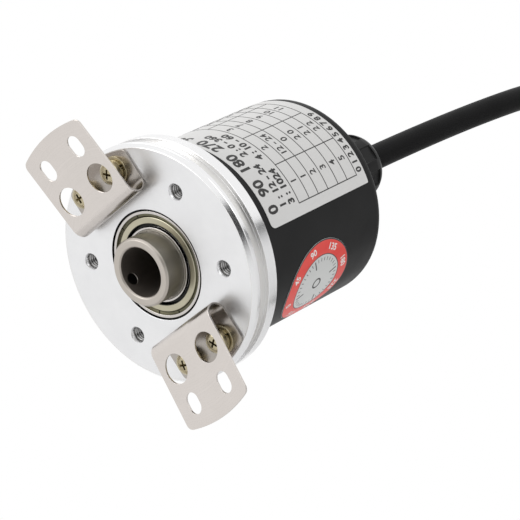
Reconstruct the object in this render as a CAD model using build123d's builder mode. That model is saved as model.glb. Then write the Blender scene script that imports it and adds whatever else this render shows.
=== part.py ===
from build123d import *
import math
import os

os.makedirs("parts", exist_ok=True)

# Single-turn rotary encoder with a blind hollow shaft, in millimetres.
# Y runs along the shaft: y = 0 is the open end of the shaft, and y grows towards the rear.
# Z is up and X points to the right, seen from the front.

# Bore of the shaft, from which the other diameters follow
bore_r = 6.0
shaft_wall = 2.5

# Bearings, 17 x 26 x 5 with two shields
bearing_section = 4.5
bearing_bore_r = bore_r + shaft_wall
bearing_r = bearing_bore_r + bearing_section
bearing_width = 5.0
bearing_recess = 0.2
bearing_spread = 7.0
ball_r = 1.19
ball_count = 7
ball_clearance = 0.05
pitch_r = (bearing_bore_r + bearing_r) / 2
land_offset = 0.7
inner_land_r = pitch_r - land_offset
outer_land_r = pitch_r + land_offset
inner_lip_wall = 0.56
outer_lip_wall = 0.7
inner_lip_r = bearing_bore_r + inner_lip_wall
outer_lip_r = bearing_r - outer_lip_wall
shield_seat_depth = 0.85
shield_thickness = 0.25
shield_sink = 0.2
shield_gap = 0.7
shield_bore_r = inner_lip_r + shield_gap
cage_thickness = 0.7
cage_inner_r = pitch_r - cage_thickness / 2
cage_outer_r = pitch_r + cage_thickness / 2
cage_width = 2.8
pocket_clearance = 0.06

# Shaft
bore_depth = 25.0
bore_chamfer = 0.35
nose_clearance = 0.2
nose_r = bearing_bore_r - nose_clearance
nose_length = 5.7
nose_chamfer = 0.5
collar_height = 0.9
collar_r = bearing_bore_r + collar_height
shaft_tail_step = 0.5
shaft_tail_r = bearing_bore_r - shaft_tail_step
shaft_end_wall = 6.0
set_screw_r = 1.5
set_screw_y = 2.8
set_screw_inset = 0.2
set_screw_length = nose_r - bore_r - 2 * set_screw_inset
set_screw_angles = (176.0, 266.0)

# Flange
plate_width = 16.0
rim_r = bearing_r + plate_width
face_chamfer = 0.9
disc_thickness = 2.0
groove_width = 3.05
groove_depth = 1.0
rim_thickness = 3.0
mouth_step = 0.7
mouth_r = bearing_r + mouth_step
mouth_depth = 0.8
seat_ledge = 1.4
shoulder_r = bearing_r - seat_ledge
hub_wall = 2.0
hub_r = bearing_r + hub_wall
spigot_length = 8.0
spigot_wall = 4.8
tapped_pcd = 41.0
tapped_r = 1.65
tapped_chamfer = 0.5
tapped_depth = 7.0
tapped_angles = (30.0, 150.0, 210.0, 330.0)

# Preload spring and retaining rings
spring_height = 0.9
spring_thickness = 0.3
spring_width = 1.5
ring_thickness = 0.9
hub_groove_depth = 0.6
hub_ring_width = 1.5
hub_ring_gap = 40.0
hub_end_wall = 1.0
circlip_groove_depth = 0.5
circlip_width = 1.6
circlip_gap = 70.0

# Can
rim_overhang = 4.0
can_r = rim_r - rim_overhang
can_wall = 1.5
can_rear_wall = 2.0
can_length = 46.9
can_shoulder = 2.0
can_fit = 0.05
can_inner_r = can_r - can_wall
spigot_r = can_inner_r - can_fit
seal_height = 1.3
seal_width = 1.6

# Boards
board_clearance = 0.7
board_r = can_inner_r - board_clearance
board_thickness = 1.6
pillar_r = 1.75
pillar_edge = 1.8
pillar_circle_r = board_r - pillar_edge
pillar_angles = (30.0, 150.0, 270.0)
spacer_length = 8.0
board_screw_r = 1.0
screw_play = 0.05
board_screw_head_r = 1.8
board_screw_head = 1.4
board_screw_grip = 5.0
link_size = (3.0, 15.0)
link_x = -14.0
driver_size = (5.3, 10.0)
driver_height = 1.8
driver_places = ((-13.0, 9.0), (-13.0, -6.0))
capacitor_r = 2.2
capacitor_height = 5.2
capacitor_places = ((1.0, 14.0), (7.0, 13.0))
header_size = (5.0, 9.0)
header_height = 3.2
plug_height = 3.6
plug_margin = 0.4

# Code disc and its hub
disc_hub_r = 12.5
disc_hub_gap = 0.4
disc_hub_thickness = 1.7
disc_boss_r = 10.0
disc_boss_length = 3.0
disc_clearance = 0.45
code_disc_r = pillar_circle_r - pillar_r - disc_clearance
code_disc_thickness = 1.2
track_edge = 1.6
track_r = code_disc_r - track_edge

# Light source and sensor
optics_angle = 90.0
led_r = 1.4
led_length = 4.0
holder_clearance = 0.3
holder_size = (9.0, 6.9)
holder_length = 5.2
holder_rounding = 1.0
lens_r = 1.6
lens_thickness = 1.6
optics_gap = 1.0
reticle_size = (10.0, 6.0)
reticle_thickness = 0.8
sensor_size = (12.0, 8.0)
sensor_thickness = 2.0

# Cable
cable_r = 3.2
sheath_inside = 2.1
lead_r = 0.5
lead_count = 5
lead_pitch = 1.25

# Cable gland
gland_offset = 12.5
gland_angle = -6.8
gland_thread_r = 5.9
gland_flange_step = 1.7
gland_flange_r = gland_thread_r + gland_flange_step
gland_flange_thickness = 1.6
gland_neck_length = 6.2
gland_neck_wall = 1.0
gland_clearance = 0.3
gland_bore_r = cable_r + gland_clearance
gland_nut_wall = 2.25
gland_nut_r = gland_thread_r + gland_nut_wall
gland_nut_length = 11.05
gland_dome_r = 4.0
grip_count = 8
grip_width = 3.9
grip_depth = 0.6
grip_length = 5.6
grip_start = 0.8
locknut_r = 8.1
locknut_thickness = 2.5
gland_seal_length = 5.0

# Stator brackets of folded spring steel
sheet = 0.5
bracket_width = 23.0
bracket_tilt = 7.0
leg_inset = 1.1
lower_leg_end_r = rim_r - leg_inset
leg_length = 12.9
fold_tip = lower_leg_end_r - leg_length
fold_inner_r = 2.35
lower_corner_r = 1.5
overhang = 10.4
upper_leg_end_r = lower_leg_end_r + overhang
upper_corner_r = 1.8
screw_spacing = 12.0
screw_edge = 5.1
screw_circle_z = lower_leg_end_r - screw_edge
access_hole_r = 3.6
slot_edge = 6.6
slot_z = upper_leg_end_r - slot_edge
slot_width = 3.9
slot_length = 5.3
bracket_screw_r = 1.5
bracket_screw_play = 0.1
bracket_screw_depth = 6.0
bracket_screw_tip_gap = 0.5
bracket_head_r = 2.75
bracket_head_height = 2.1
bracket_head_chamfer = 0.6
flat_washer_r = 3.5
flat_washer_thickness = 0.5
spring_washer_r = 2.8
spring_washer_thickness = 0.8
spring_washer_gap = 0.4

# Labels on the can
label_thickness = 0.1
label_front_margin = 6.05
label_rear_margin = 3.35
label_low_angle = -18.9
label_high_angle = 91.0
label_corner = 1.5
sticker_r = 11.6
sticker_setback = 22.35
sticker_angle = -63.1

# Places along the shaft, from front to rear
face_y = nose_length
front_bearing_y = face_y + bearing_recess
front_bearing_end = front_bearing_y + bearing_width
rear_bearing_y = front_bearing_end + bearing_spread
rear_bearing_end = rear_bearing_y + bearing_width
ring_y = rear_bearing_end + spring_height
hub_end = ring_y + ring_thickness + hub_end_wall
groove_y = face_y + disc_thickness
rim_y = groove_y + groove_width
rim_end = rim_y + rim_thickness
spigot_end = rim_end + spigot_length
circlip_y = rear_bearing_end
disc_hub_y = hub_end + disc_hub_gap
code_disc_y = disc_hub_y + disc_hub_thickness
code_disc_end = code_disc_y + code_disc_thickness
shaft_end = max(bore_depth + shaft_end_wall, code_disc_y + disc_boss_length)
reticle_y = code_disc_end + optics_gap
sensor_y = reticle_y + reticle_thickness
sensor_board_y = sensor_y + sensor_thickness
sensor_board_end = sensor_board_y + board_thickness
output_board_y = sensor_board_end + spacer_length
output_board_end = output_board_y + board_thickness
can_end = rim_end + can_length
can_inner_end = can_end - can_rear_wall
label_start = rim_end + label_front_margin
label_end = can_end - label_rear_margin
sticker_y = rim_end + sticker_setback
seal_y = rim_end + (spigot_length - seal_width) / 2
gland_x = gland_offset * math.cos(math.radians(gland_angle))
gland_z = gland_offset * math.sin(math.radians(gland_angle))
gland_nut_y = can_end + gland_flange_thickness
gland_end = can_end + gland_nut_length
sheath_y = can_inner_end - locknut_thickness - sheath_inside

# Cable route: straight out of the gland, then down under its own weight into a hanging coil
cable_route = (
    (sheath_y, gland_z),
    (sheath_y + 52.0, gland_z),
    (sheath_y + 118.0, gland_z - 1.3),
    (sheath_y + 159.0, gland_z - 44.5),
    (sheath_y + 157.0, gland_z - 104.5),
)
coil_turn_r = 38.0
coil_section_r = 9.7
coil_lead_r = 6.4
tie_thickness = 0.9
tie_width = 3.6
tail_length = 72.0
tail_offset = (-6.0, -3.2)
tail_lead_length = 40.0
tail_lead_count = 8
tail_lead_circle_r = 2.2
tail_lead_flare = 5.0
tie_head = (5.0, 3.4)
tie_head_rise = 0.8


def across(y):
    """Plane across the shaft at y: its local x and y are X and Z, and its normal points to the front."""
    return Plane.XZ.offset(-y)


def polar(radius, degrees):
    """Point (x, z) at a radius and an angle from +X."""
    return (radius * math.cos(math.radians(degrees)), radius * math.sin(math.radians(degrees)))


def turn(points, degrees=360.0, mode=Mode.ADD):
    """Revolve a closed outline of (radius, y) points about the shaft's axis."""
    with BuildSketch(Plane.XY) as outline:
        with BuildLine():
            Polyline(*points, close=True)
        make_face()
    revolve(outline.sketch, axis=Axis.Y, revolution_arc=degrees, mode=mode)


def rings(places, outer_r, inner_r, y0, y1, mode=Mode.ADD):
    """Discs or, with an inner radius, rings from y0 to y1 at the places (x, z)."""
    with BuildSketch(across(y0)) as section:
        with Locations(*places):
            Circle(outer_r)
            if inner_r > 0:
                Circle(inner_r, mode=Mode.SUBTRACT)
    extrude(section.sketch, amount=-(y1 - y0), mode=mode)


def blocks(places, width, height, y0, y1, mode=Mode.ADD):
    """Rectangular blocks from y0 to y1, centred on the places (x, z)."""
    with BuildSketch(across(y0)) as section:
        with Locations(*places):
            Rectangle(width, height)
    extrude(section.sketch, amount=-(y1 - y0), mode=mode)


def radial(degrees, y, place=(0, 0)):
    """Plane at y whose normal points away from the place (x, z) at an angle from +X; local x is Y."""
    x, z = polar(1, degrees)
    return Plane((place[0], y, place[1]), x_dir=(0, 1, 0), z_dir=(x, 0, z))


def save(part, label):
    """Label a finished piece and write its file."""
    part.label = label
    export_step(part, f"parts/{label}.step")


bracket_screw_places = [
    (x, z) for x in (-screw_spacing / 2, screw_spacing / 2) for z in (-screw_circle_z, screw_circle_z)
]
tapped_places = [polar(tapped_pcd / 2, angle) for angle in tapped_angles]
pillar_places = [polar(pillar_circle_r, angle) for angle in pillar_angles]
optics_place = polar(track_r, optics_angle)
gland_place = (gland_x, gland_z)

# Flange: turned plate with the bearing hub and the spigot for the can
with BuildPart() as flange:
    turn(
        [
            (mouth_r, face_y),
            (rim_r - face_chamfer, face_y),
            (rim_r, face_y + face_chamfer),
            (rim_r, groove_y),
            (rim_r - groove_depth, groove_y),
            (rim_r - groove_depth, rim_y),
            (rim_r, rim_y),
            (rim_r, rim_end),
            (spigot_r, rim_end),
            (spigot_r, spigot_end),
            (spigot_r - spigot_wall, spigot_end),
            (spigot_r - spigot_wall, rim_end),
            (hub_r, rim_end),
            (hub_r, hub_end),
            (bearing_r, hub_end),
            (bearing_r, ring_y + ring_thickness),
            (bearing_r + hub_groove_depth, ring_y + ring_thickness),
            (bearing_r + hub_groove_depth, ring_y),
            (bearing_r, ring_y),
            (bearing_r, rear_bearing_y),
            (shoulder_r, rear_bearing_y),
            (shoulder_r, front_bearing_end),
            (bearing_r, front_bearing_end),
            (bearing_r, face_y + mouth_depth),
            (mouth_r, face_y + mouth_depth),
        ]
    )
    turn(
        [
            (spigot_r + 1.0, seal_y),
            (can_inner_r - seal_height, seal_y),
            (can_inner_r - seal_height, seal_y + seal_width),
            (spigot_r + 1.0, seal_y + seal_width),
        ],
        mode=Mode.SUBTRACT,
    )
    rings(tapped_places, tapped_r, 0, face_y, face_y + tapped_depth, Mode.SUBTRACT)
    with BuildSketch(across(face_y)) as mouths:
        with Locations(*tapped_places):
            Circle(tapped_r + tapped_chamfer)
    extrude(mouths.sketch, amount=-tapped_chamfer, taper=45, mode=Mode.SUBTRACT)
    rings(bracket_screw_places, bracket_screw_r, 0, face_y, face_y + bracket_screw_depth, Mode.SUBTRACT)
    rings(pillar_places, board_screw_r, 0, spigot_end - board_screw_grip, spigot_end, Mode.SUBTRACT)
save(flange.part, "flange")

# Can: drawn shell with a rounded rear shoulder, pushed over the spigot up to the rim
with BuildPart() as housing_can:
    turn([(0, rim_end), (can_r, rim_end), (can_r, can_end), (0, can_end)])
    rear_edges = housing_can.edges().filter_by(GeomType.CIRCLE).group_by(Axis.Y)[-1]
    fillet(rear_edges, can_shoulder)
    turn([(0, rim_end), (can_inner_r, rim_end), (can_inner_r, can_inner_end), (0, can_inner_end)],
         mode=Mode.SUBTRACT)
    rings([gland_place], gland_thread_r, 0, can_inner_end, can_end, Mode.SUBTRACT)
save(housing_can.part, "housing_can")

with BuildPart() as can_seal:
    turn(
        [
            (can_inner_r - seal_height, seal_y),
            (can_inner_r, seal_y),
            (can_inner_r, seal_y + seal_width),
            (can_inner_r - seal_height, seal_y + seal_width),
        ]
    )
save(can_seal.part, "can_seal")

# Ball bearings: rings with a deep groove, shields pressed into the outer ring, balls in a cage
ball_spots = [polar(pitch_r, 360.0 * i / ball_count) for i in range(ball_count)]
race_r = ball_r + ball_clearance
for end, y0 in (("front", front_bearing_y), ("rear", rear_bearing_y)):
    middle = y0 + bearing_width / 2
    y1 = y0 + bearing_width

    with BuildSketch(Plane.XY) as race:
        with Locations((pitch_r, middle)):
            Circle(race_r)

    with BuildPart() as outer_ring:
        turn(
            [
                (bearing_r, y0),
                (bearing_r, y1),
                (outer_lip_r, y1),
                (outer_lip_r, y1 - shield_seat_depth),
                (outer_land_r, y1 - shield_seat_depth),
                (outer_land_r, y0 + shield_seat_depth),
                (outer_lip_r, y0 + shield_seat_depth),
                (outer_lip_r, y0),
            ]
        )
        revolve(race.sketch, axis=Axis.Y, mode=Mode.SUBTRACT)
    save(outer_ring.part, f"{end}_bearing_outer_ring")

    with BuildPart() as inner_ring:
        turn(
            [
                (bearing_bore_r, y0),
                (inner_lip_r, y0),
                (inner_lip_r, y0 + shield_seat_depth),
                (inner_land_r, y0 + shield_seat_depth),
                (inner_land_r, y1 - shield_seat_depth),
                (inner_lip_r, y1 - shield_seat_depth),
                (inner_lip_r, y1),
                (bearing_bore_r, y1),
            ]
        )
        revolve(race.sketch, axis=Axis.Y, mode=Mode.SUBTRACT)
    save(inner_ring.part, f"{end}_bearing_inner_ring")

    with BuildPart() as shields:
        for lip, inward in ((y0, 1), (y1, -1)):
            flat = lip + inward * shield_sink
            seat = lip + inward * (shield_seat_depth - shield_thickness)
            back = lip + inward * shield_seat_depth
            turn(
                [
                    (shield_bore_r, flat),
                    (outer_land_r, flat),
                    (outer_land_r + shield_thickness, seat),
                    (outer_lip_r, seat),
                    (outer_lip_r, back),
                    (outer_land_r, back),
                    (outer_land_r - shield_thickness, flat + inward * shield_thickness),
                    (shield_bore_r, flat + inward * shield_thickness),
                ]
            )
    save(shields.part, f"{end}_bearing_shields")

    with BuildPart() as balls:
        with Locations(*[(x, middle, z) for x, z in ball_spots]):
            Sphere(ball_r)
    save(balls.part, f"{end}_bearing_balls")

    with BuildPart() as cage:
        turn(
            [
                (cage_inner_r, middle - cage_width / 2),
                (cage_outer_r, middle - cage_width / 2),
                (cage_outer_r, middle + cage_width / 2),
                (cage_inner_r, middle + cage_width / 2),
            ]
        )
        for i in range(ball_count):
            with BuildSketch(radial(360.0 * i / ball_count, middle).offset(cage_inner_r - 1.0)) as pocket:
                Circle(ball_r + pocket_clearance)
            extrude(pocket.sketch, amount=cage_outer_r - cage_inner_r + 2.0, mode=Mode.SUBTRACT)
    save(cage.part, f"{end}_bearing_cage")

# Preload spring: conical washer between the rear bearing's outer ring and the circlip in the hub
with BuildPart() as preload_spring:
    turn(
        [
            (bearing_r, rear_bearing_end),
            (bearing_r, rear_bearing_end + spring_thickness),
            (bearing_r - spring_width, ring_y),
            (bearing_r - spring_width, ring_y - spring_thickness),
        ]
    )
save(preload_spring.part, "preload_spring")

with BuildPart() as hub_retaining_ring:
    turn(
        [
            (bearing_r + hub_groove_depth, ring_y),
            (bearing_r + hub_groove_depth, ring_y + ring_thickness),
            (bearing_r + hub_groove_depth - hub_ring_width, ring_y + ring_thickness),
            (bearing_r + hub_groove_depth - hub_ring_width, ring_y),
        ],
        degrees=360.0 - hub_ring_gap,
    )
save(hub_retaining_ring.part, "hub_retaining_ring")

# Hollow shaft: blind bore, collar between the bearings, seat for the code disc's hub
with BuildPart() as hollow_shaft:
    turn(
        [
            (bore_r + bore_chamfer, 0),
            (nose_r - nose_chamfer, 0),
            (nose_r, nose_chamfer),
            (nose_r, front_bearing_y),
            (bearing_bore_r, front_bearing_y),
            (bearing_bore_r, front_bearing_end),
            (collar_r, front_bearing_end),
            (collar_r, rear_bearing_y),
            (bearing_bore_r, rear_bearing_y),
            (bearing_bore_r, rear_bearing_end),
            (bearing_bore_r - circlip_groove_depth, rear_bearing_end),
            (bearing_bore_r - circlip_groove_depth, rear_bearing_end + ring_thickness),
            (bearing_bore_r, rear_bearing_end + ring_thickness),
            (bearing_bore_r, disc_hub_y),
            (shaft_tail_r, disc_hub_y),
            (shaft_tail_r, shaft_end),
            (0, shaft_end),
            (0, bore_depth),
            (bore_r, bore_depth),
            (bore_r, bore_chamfer),
        ]
    )
    for angle in set_screw_angles:
        with BuildSketch(radial(angle, set_screw_y)) as screw_hole:
            Circle(set_screw_r)
        extrude(screw_hole.sketch, amount=nose_r + 1.0, mode=Mode.SUBTRACT)
save(hollow_shaft.part, "hollow_shaft")

with BuildPart() as shaft_set_screws:
    for angle in set_screw_angles:
        with BuildSketch(radial(angle, set_screw_y).offset(nose_r - set_screw_inset)) as screw_top:
            Circle(set_screw_r)
        extrude(screw_top.sketch, amount=-set_screw_length)
        with BuildSketch(radial(angle, set_screw_y).offset(nose_r - set_screw_inset)) as socket:
            RegularPolygon(set_screw_r / 2, 6, major_radius=False)
        extrude(socket.sketch, amount=-set_screw_length / 2, mode=Mode.SUBTRACT)
save(shaft_set_screws.part, "shaft_set_screws")

with BuildPart() as shaft_circlip:
    circlip_inner_r = bearing_bore_r - circlip_groove_depth
    turn(
        [
            (circlip_inner_r, circlip_y),
            (circlip_inner_r + circlip_width, circlip_y),
            (circlip_inner_r + circlip_width, circlip_y + ring_thickness),
            (circlip_inner_r, circlip_y + ring_thickness),
        ],
        degrees=360.0 - circlip_gap,
    )
save(shaft_circlip.part, "shaft_circlip")

# Code disc: glass, bonded to a turned hub on the end of the shaft
with BuildPart() as disc_hub:
    turn(
        [
            (shaft_tail_r, disc_hub_y),
            (disc_hub_r, disc_hub_y),
            (disc_hub_r, code_disc_y),
            (disc_boss_r, code_disc_y),
            (disc_boss_r, code_disc_y + disc_boss_length),
            (shaft_tail_r, code_disc_y + disc_boss_length),
        ]
    )
save(disc_hub.part, "disc_hub")

with BuildPart() as code_disc:
    rings([(0, 0)], code_disc_r, disc_boss_r, code_disc_y, code_disc_end)
save(code_disc.part, "code_disc")

# Light source in front of the disc: lamp and lens in a moulded holder on the spigot
holder_width, holder_height = holder_size
holder_end = spigot_end + holder_length
holder_place = polar(hub_r + holder_clearance + holder_height / 2, optics_angle)
with BuildPart() as led_holder:
    blocks([holder_place], holder_width, holder_height, spigot_end, holder_end)
    rings([optics_place], led_r, 0, spigot_end, holder_end, Mode.SUBTRACT)
    rings([optics_place], lens_r, 0, holder_end - lens_thickness, holder_end, Mode.SUBTRACT)
    fillet(led_holder.edges().filter_by(Axis.Y).group_by(SortBy.LENGTH)[-1].group_by(Axis.Z)[-1], holder_rounding)
save(led_holder.part, "led_holder")

with BuildPart() as led_lamp:
    lamp_end = holder_end - lens_thickness
    rings([optics_place], led_r, 0, lamp_end - led_length, lamp_end - led_r)
    with Locations((optics_place[0], lamp_end - led_r, optics_place[1])):
        Sphere(led_r)
save(led_lamp.part, "led_lamp")

with BuildPart() as collimator_lens:
    rings([optics_place], lens_r, 0, holder_end - lens_thickness, holder_end)
save(collimator_lens.part, "collimator_lens")

# Sensor behind the disc: mask glass on the diode array, on the first board
with BuildPart() as reticle:
    blocks([optics_place], *reticle_size, reticle_y, sensor_y)
save(reticle.part, "reticle")

with BuildPart() as photo_sensor:
    blocks([optics_place], *sensor_size, sensor_y, sensor_board_y)
save(photo_sensor.part, "photo_sensor")

with BuildPart() as sensor_board:
    rings([(0, 0)], board_r, 0, sensor_board_y, sensor_board_end)
    rings(pillar_places, board_screw_r + screw_play, 0, sensor_board_y, sensor_board_end, Mode.SUBTRACT)
save(sensor_board.part, "sensor_board")

# Two boards stand on three pillars and three spacers
with BuildPart() as board_pillars:
    rings(pillar_places, pillar_r, 0, spigot_end, sensor_board_y)
    rings(pillar_places, board_screw_r, 0, spigot_end - board_screw_grip, spigot_end)
    rings(pillar_places, board_screw_r, 0, sensor_board_y - board_screw_grip, sensor_board_y, Mode.SUBTRACT)
save(board_pillars.part, "board_pillars")

with BuildPart() as board_spacers:
    rings(pillar_places, pillar_r, board_screw_r + screw_play, sensor_board_end, output_board_y)
save(board_spacers.part, "board_spacers")

with BuildPart() as output_board:
    rings([(0, 0)], board_r, 0, output_board_y, output_board_end)
    rings(pillar_places, board_screw_r + screw_play, 0, output_board_y, output_board_end, Mode.SUBTRACT)
save(output_board.part, "output_board")

with BuildPart() as board_screws:
    rings(pillar_places, board_screw_r, 0, sensor_board_y - board_screw_grip, output_board_end)
    rings(pillar_places, board_screw_head_r, 0, output_board_end, output_board_end + board_screw_head)
save(board_screws.part, "board_screws")

with BuildPart() as board_link:
    blocks([(link_x, 0)], *link_size, sensor_board_end, output_board_y)
save(board_link.part, "board_link")

with BuildPart() as output_drivers:
    blocks(driver_places, *driver_size, output_board_end, output_board_end + driver_height)
save(output_drivers.part, "output_drivers")

with BuildPart() as filter_capacitors:
    rings(capacitor_places, capacitor_r, 0, output_board_end, output_board_end + capacitor_height)
save(filter_capacitors.part, "filter_capacitors")

# Connector of the cable's conductors, on the rear side of the second board
header_end = output_board_end + header_height
plug_end = header_end + plug_height
with BuildPart() as cable_header:
    blocks([gland_place], *header_size, output_board_end, header_end)
save(cable_header.part, "cable_header")

with BuildPart() as cable_plug:
    blocks([gland_place], header_size[0] - plug_margin, header_size[1] - plug_margin, header_end, plug_end)
save(cable_plug.part, "cable_plug")

# Conductors from the plug to the end of the cable's sheath
lead_row = [(i - (lead_count - 1) / 2) * lead_pitch for i in range(lead_count)]
with BuildPart() as inner_leads:
    rings([(gland_x, gland_z + step) for step in lead_row], lead_r, 0, plug_end, sheath_y)
save(inner_leads.part, "inner_leads")

# Gland: body through the can's rear wall with a lock nut inside, seal, and a ribbed dome nut
with BuildPart() as gland_body:
    rings([gland_place], gland_flange_r, 0, can_end, gland_nut_y)
    rings([gland_place], gland_thread_r, 0, can_inner_end - locknut_thickness, gland_nut_y + gland_neck_length)
    rings([gland_place], gland_bore_r, 0, can_inner_end - locknut_thickness, gland_nut_y, Mode.SUBTRACT)
    rings([gland_place], gland_thread_r - gland_neck_wall, 0, gland_nut_y, gland_nut_y + gland_neck_length, Mode.SUBTRACT)
save(gland_body.part, "gland_body")

with BuildPart() as gland_locknut:
    with BuildSketch(across(can_inner_end - locknut_thickness)) as hexagon:
        with Locations(gland_place):
            RegularPolygon(locknut_r, 6)
            Circle(gland_thread_r, mode=Mode.SUBTRACT)
    extrude(hexagon.sketch, amount=-locknut_thickness)
save(gland_locknut.part, "gland_locknut")

seal_end = gland_nut_y + gland_seal_length
with BuildPart() as gland_seal:
    rings([gland_place], gland_thread_r - gland_neck_wall, cable_r, gland_nut_y, seal_end)
save(gland_seal.part, "gland_seal")

with BuildPart() as gland_nut:
    rings([gland_place], gland_nut_r, 0, gland_nut_y, gland_end)
    fillet(gland_nut.edges().filter_by(GeomType.CIRCLE).group_by(Axis.Y)[-1], gland_dome_r)
    neck_end = gland_nut_y + gland_neck_length
    rings([gland_place], gland_thread_r, 0, gland_nut_y, neck_end, Mode.SUBTRACT)
    rings([gland_place], gland_bore_r, 0, neck_end, gland_end, Mode.SUBTRACT)
    for i in range(grip_count):
        grip_plane = radial(360.0 * i / grip_count, gland_nut_y, gland_place)
        with BuildSketch(grip_plane.offset(gland_nut_r - grip_depth)) as grip:
            with Locations((grip_length / 2 + grip_start, 0)):
                Rectangle(grip_length, grip_width)
        extrude(grip.sketch, amount=grip_depth + 1.0, mode=Mode.SUBTRACT)
save(gland_nut.part, "gland_nut")

# Stator bracket: lower leg on the face, fold on the shaft's side, upper leg spread outwards
fold_middle_z = fold_tip + fold_inner_r + sheet
fold_middle_y = face_y - sheet - fold_inner_r
lean = math.radians(bracket_tilt)
leg_normal = (0, -math.cos(lean), -math.sin(lean))
crease_y = fold_middle_y - fold_inner_r * math.cos(lean)
crease_z = fold_middle_z - fold_inner_r * math.sin(lean)
upper_leg_plane = Plane((0, crease_y, crease_z), x_dir=(1, 0, 0), z_dir=leg_normal)
axis_s = -crease_z / math.cos(lean)


def along_leg(z):
    """Distance along the upper leg of the point that lies z above the shaft's axis."""
    return (z - crease_z) / math.cos(lean)


with BuildPart() as upper_bracket:
    with BuildSketch(across(face_y)) as lower_leg:
        with Locations((0, 0)):
            Circle(lower_leg_end_r)
        with Locations((0, fold_middle_z + lower_leg_end_r / 2)):
            Rectangle(bracket_width, lower_leg_end_r, mode=Mode.INTERSECT)
        fillet(lower_leg.vertices().group_by(Axis.Z)[-1], lower_corner_r)
        with Locations((-screw_spacing / 2, screw_circle_z), (screw_spacing / 2, screw_circle_z)):
            Circle(bracket_screw_r + bracket_screw_play, mode=Mode.SUBTRACT)
    extrude(lower_leg.sketch, amount=sheet)
    with BuildSketch(Plane.YZ.offset(-bracket_width / 2)) as fold:
        with BuildLine():
            inner = CenterArc((fold_middle_y, fold_middle_z), fold_inner_r, 0, -(180 - bracket_tilt))
            outer = CenterArc((fold_middle_y, fold_middle_z), fold_inner_r + sheet, 0, -(180 - bracket_tilt))
            Line(inner @ 0, outer @ 0)
            Line(inner @ 1, outer @ 1)
        make_face()
    extrude(fold.sketch, amount=bracket_width)
    with BuildSketch(upper_leg_plane) as upper_leg:
        with Locations((0, axis_s)):
            Circle(upper_leg_end_r)
        with Locations((0, upper_leg_end_r / 2)):
            Rectangle(bracket_width, upper_leg_end_r, mode=Mode.INTERSECT)
        fillet(upper_leg.vertices().group_by(Axis.Z)[-1], upper_corner_r)
        with Locations(*[(x, along_leg(screw_circle_z)) for x in (-screw_spacing / 2, screw_spacing / 2)]):
            Circle(access_hole_r, mode=Mode.SUBTRACT)
        with Locations(*[(x, along_leg(slot_z)) for x in (-screw_spacing / 2, screw_spacing / 2)]):
            SlotOverall(slot_length, slot_width, rotation=90, mode=Mode.SUBTRACT)
    extrude(upper_leg.sketch, amount=sheet)
save(upper_bracket.part, "upper_bracket")

with BuildPart() as lower_bracket:
    add(upper_bracket.part.rotate(Axis.Y, 180))
save(lower_bracket.part, "lower_bracket")

# Screws of the brackets, each with a spring washer on a flat washer
washer_y = face_y - sheet - flat_washer_thickness
spring_washer_y = washer_y - spring_washer_thickness
with BuildPart() as bracket_flat_washers:
    rings(bracket_screw_places, flat_washer_r, bracket_screw_r + bracket_screw_play, washer_y, face_y - sheet)
save(bracket_flat_washers.part, "bracket_flat_washers")

with BuildPart() as bracket_spring_washers:
    rings(bracket_screw_places, spring_washer_r, bracket_screw_r + bracket_screw_play, spring_washer_y, washer_y)
    split_places = [(x + spring_washer_r, z) for x, z in bracket_screw_places]
    blocks(split_places, 2 * spring_washer_r, spring_washer_gap, spring_washer_y, washer_y, Mode.SUBTRACT)
save(bracket_spring_washers.part, "bracket_spring_washers")

with BuildPart() as bracket_screws:
    head_y = spring_washer_y - bracket_head_height
    rings(bracket_screw_places, bracket_head_r, 0, head_y, spring_washer_y)
    chamfer(bracket_screws.edges().filter_by(GeomType.CIRCLE).group_by(Axis.Y)[0], bracket_head_chamfer)
    rings(bracket_screw_places, bracket_screw_r, 0, spring_washer_y, face_y + bracket_screw_depth - bracket_screw_tip_gap)
save(bracket_screws.part, "bracket_screws")

# Foil label round the can
label_arc = label_high_angle - label_low_angle
with BuildPart() as nameplate:
    with BuildSketch(Plane.XY) as label_section:
        with Locations((can_r + label_thickness / 2, (label_start + label_end) / 2)):
            Rectangle(label_thickness, label_end - label_start)
    revolve(label_section.sketch, axis=Axis.Y, revolution_arc=label_arc)
    corners = nameplate.edges().filter_by(lambda e: abs(e.length - label_thickness) < 1e-3)
    fillet(corners, label_corner)
save(nameplate.part.rotate(Axis.Y, -label_high_angle), "nameplate")

# Round sticker, bent round the can
with BuildPart() as round_sticker:
    rings([(0, 0)], can_r + label_thickness, can_r, sticker_y - sticker_r, sticker_y + sticker_r)
    facing = Plane((0, sticker_y, 0), x_dir=(0, 1, 0), z_dir=(1, 0, 0))
    with BuildSketch(facing) as sticker_outline:
        Ellipse(sticker_r, can_r * math.sin(sticker_r / can_r))
    extrude(sticker_outline.sketch, amount=can_r + 1.0, mode=Mode.INTERSECT)
save(round_sticker.part.rotate(Axis.Y, -sticker_angle), "round_sticker")

# Cable: one tube to the coil, the coil's outer shape, and a tail with bare conductors
corners = [Vector(gland_x, y, z) for y, z in cable_route]
runs = [b - a for a, b in zip(corners, corners[1:])]
radii = []
for before, after in zip(runs, runs[1:]):
    half_turn = math.radians(before.get_angle(after)) / 2
    radii.append(0.45 * min(before.length, after.length) / math.tan(half_turn))
print("cable radii", [round(r, 1) for r in radii])

with BuildPart() as cable:
    with BuildLine() as cable_path:
        FilletPolyline(*corners, radius=radii)
    with BuildSketch(across(sheath_y)) as cable_section:
        with Locations(gland_place):
            Circle(cable_r)
    sweep(cable_section.sketch, path=cable_path.line)
save(cable.part, "cable")
path_length = cable_path.wire().length
tube_volume = math.pi * cable_r**2 * path_length
print("cable length", round(path_length, 1), "volume share", round(cable.part.volume / tube_volume, 4))

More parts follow.
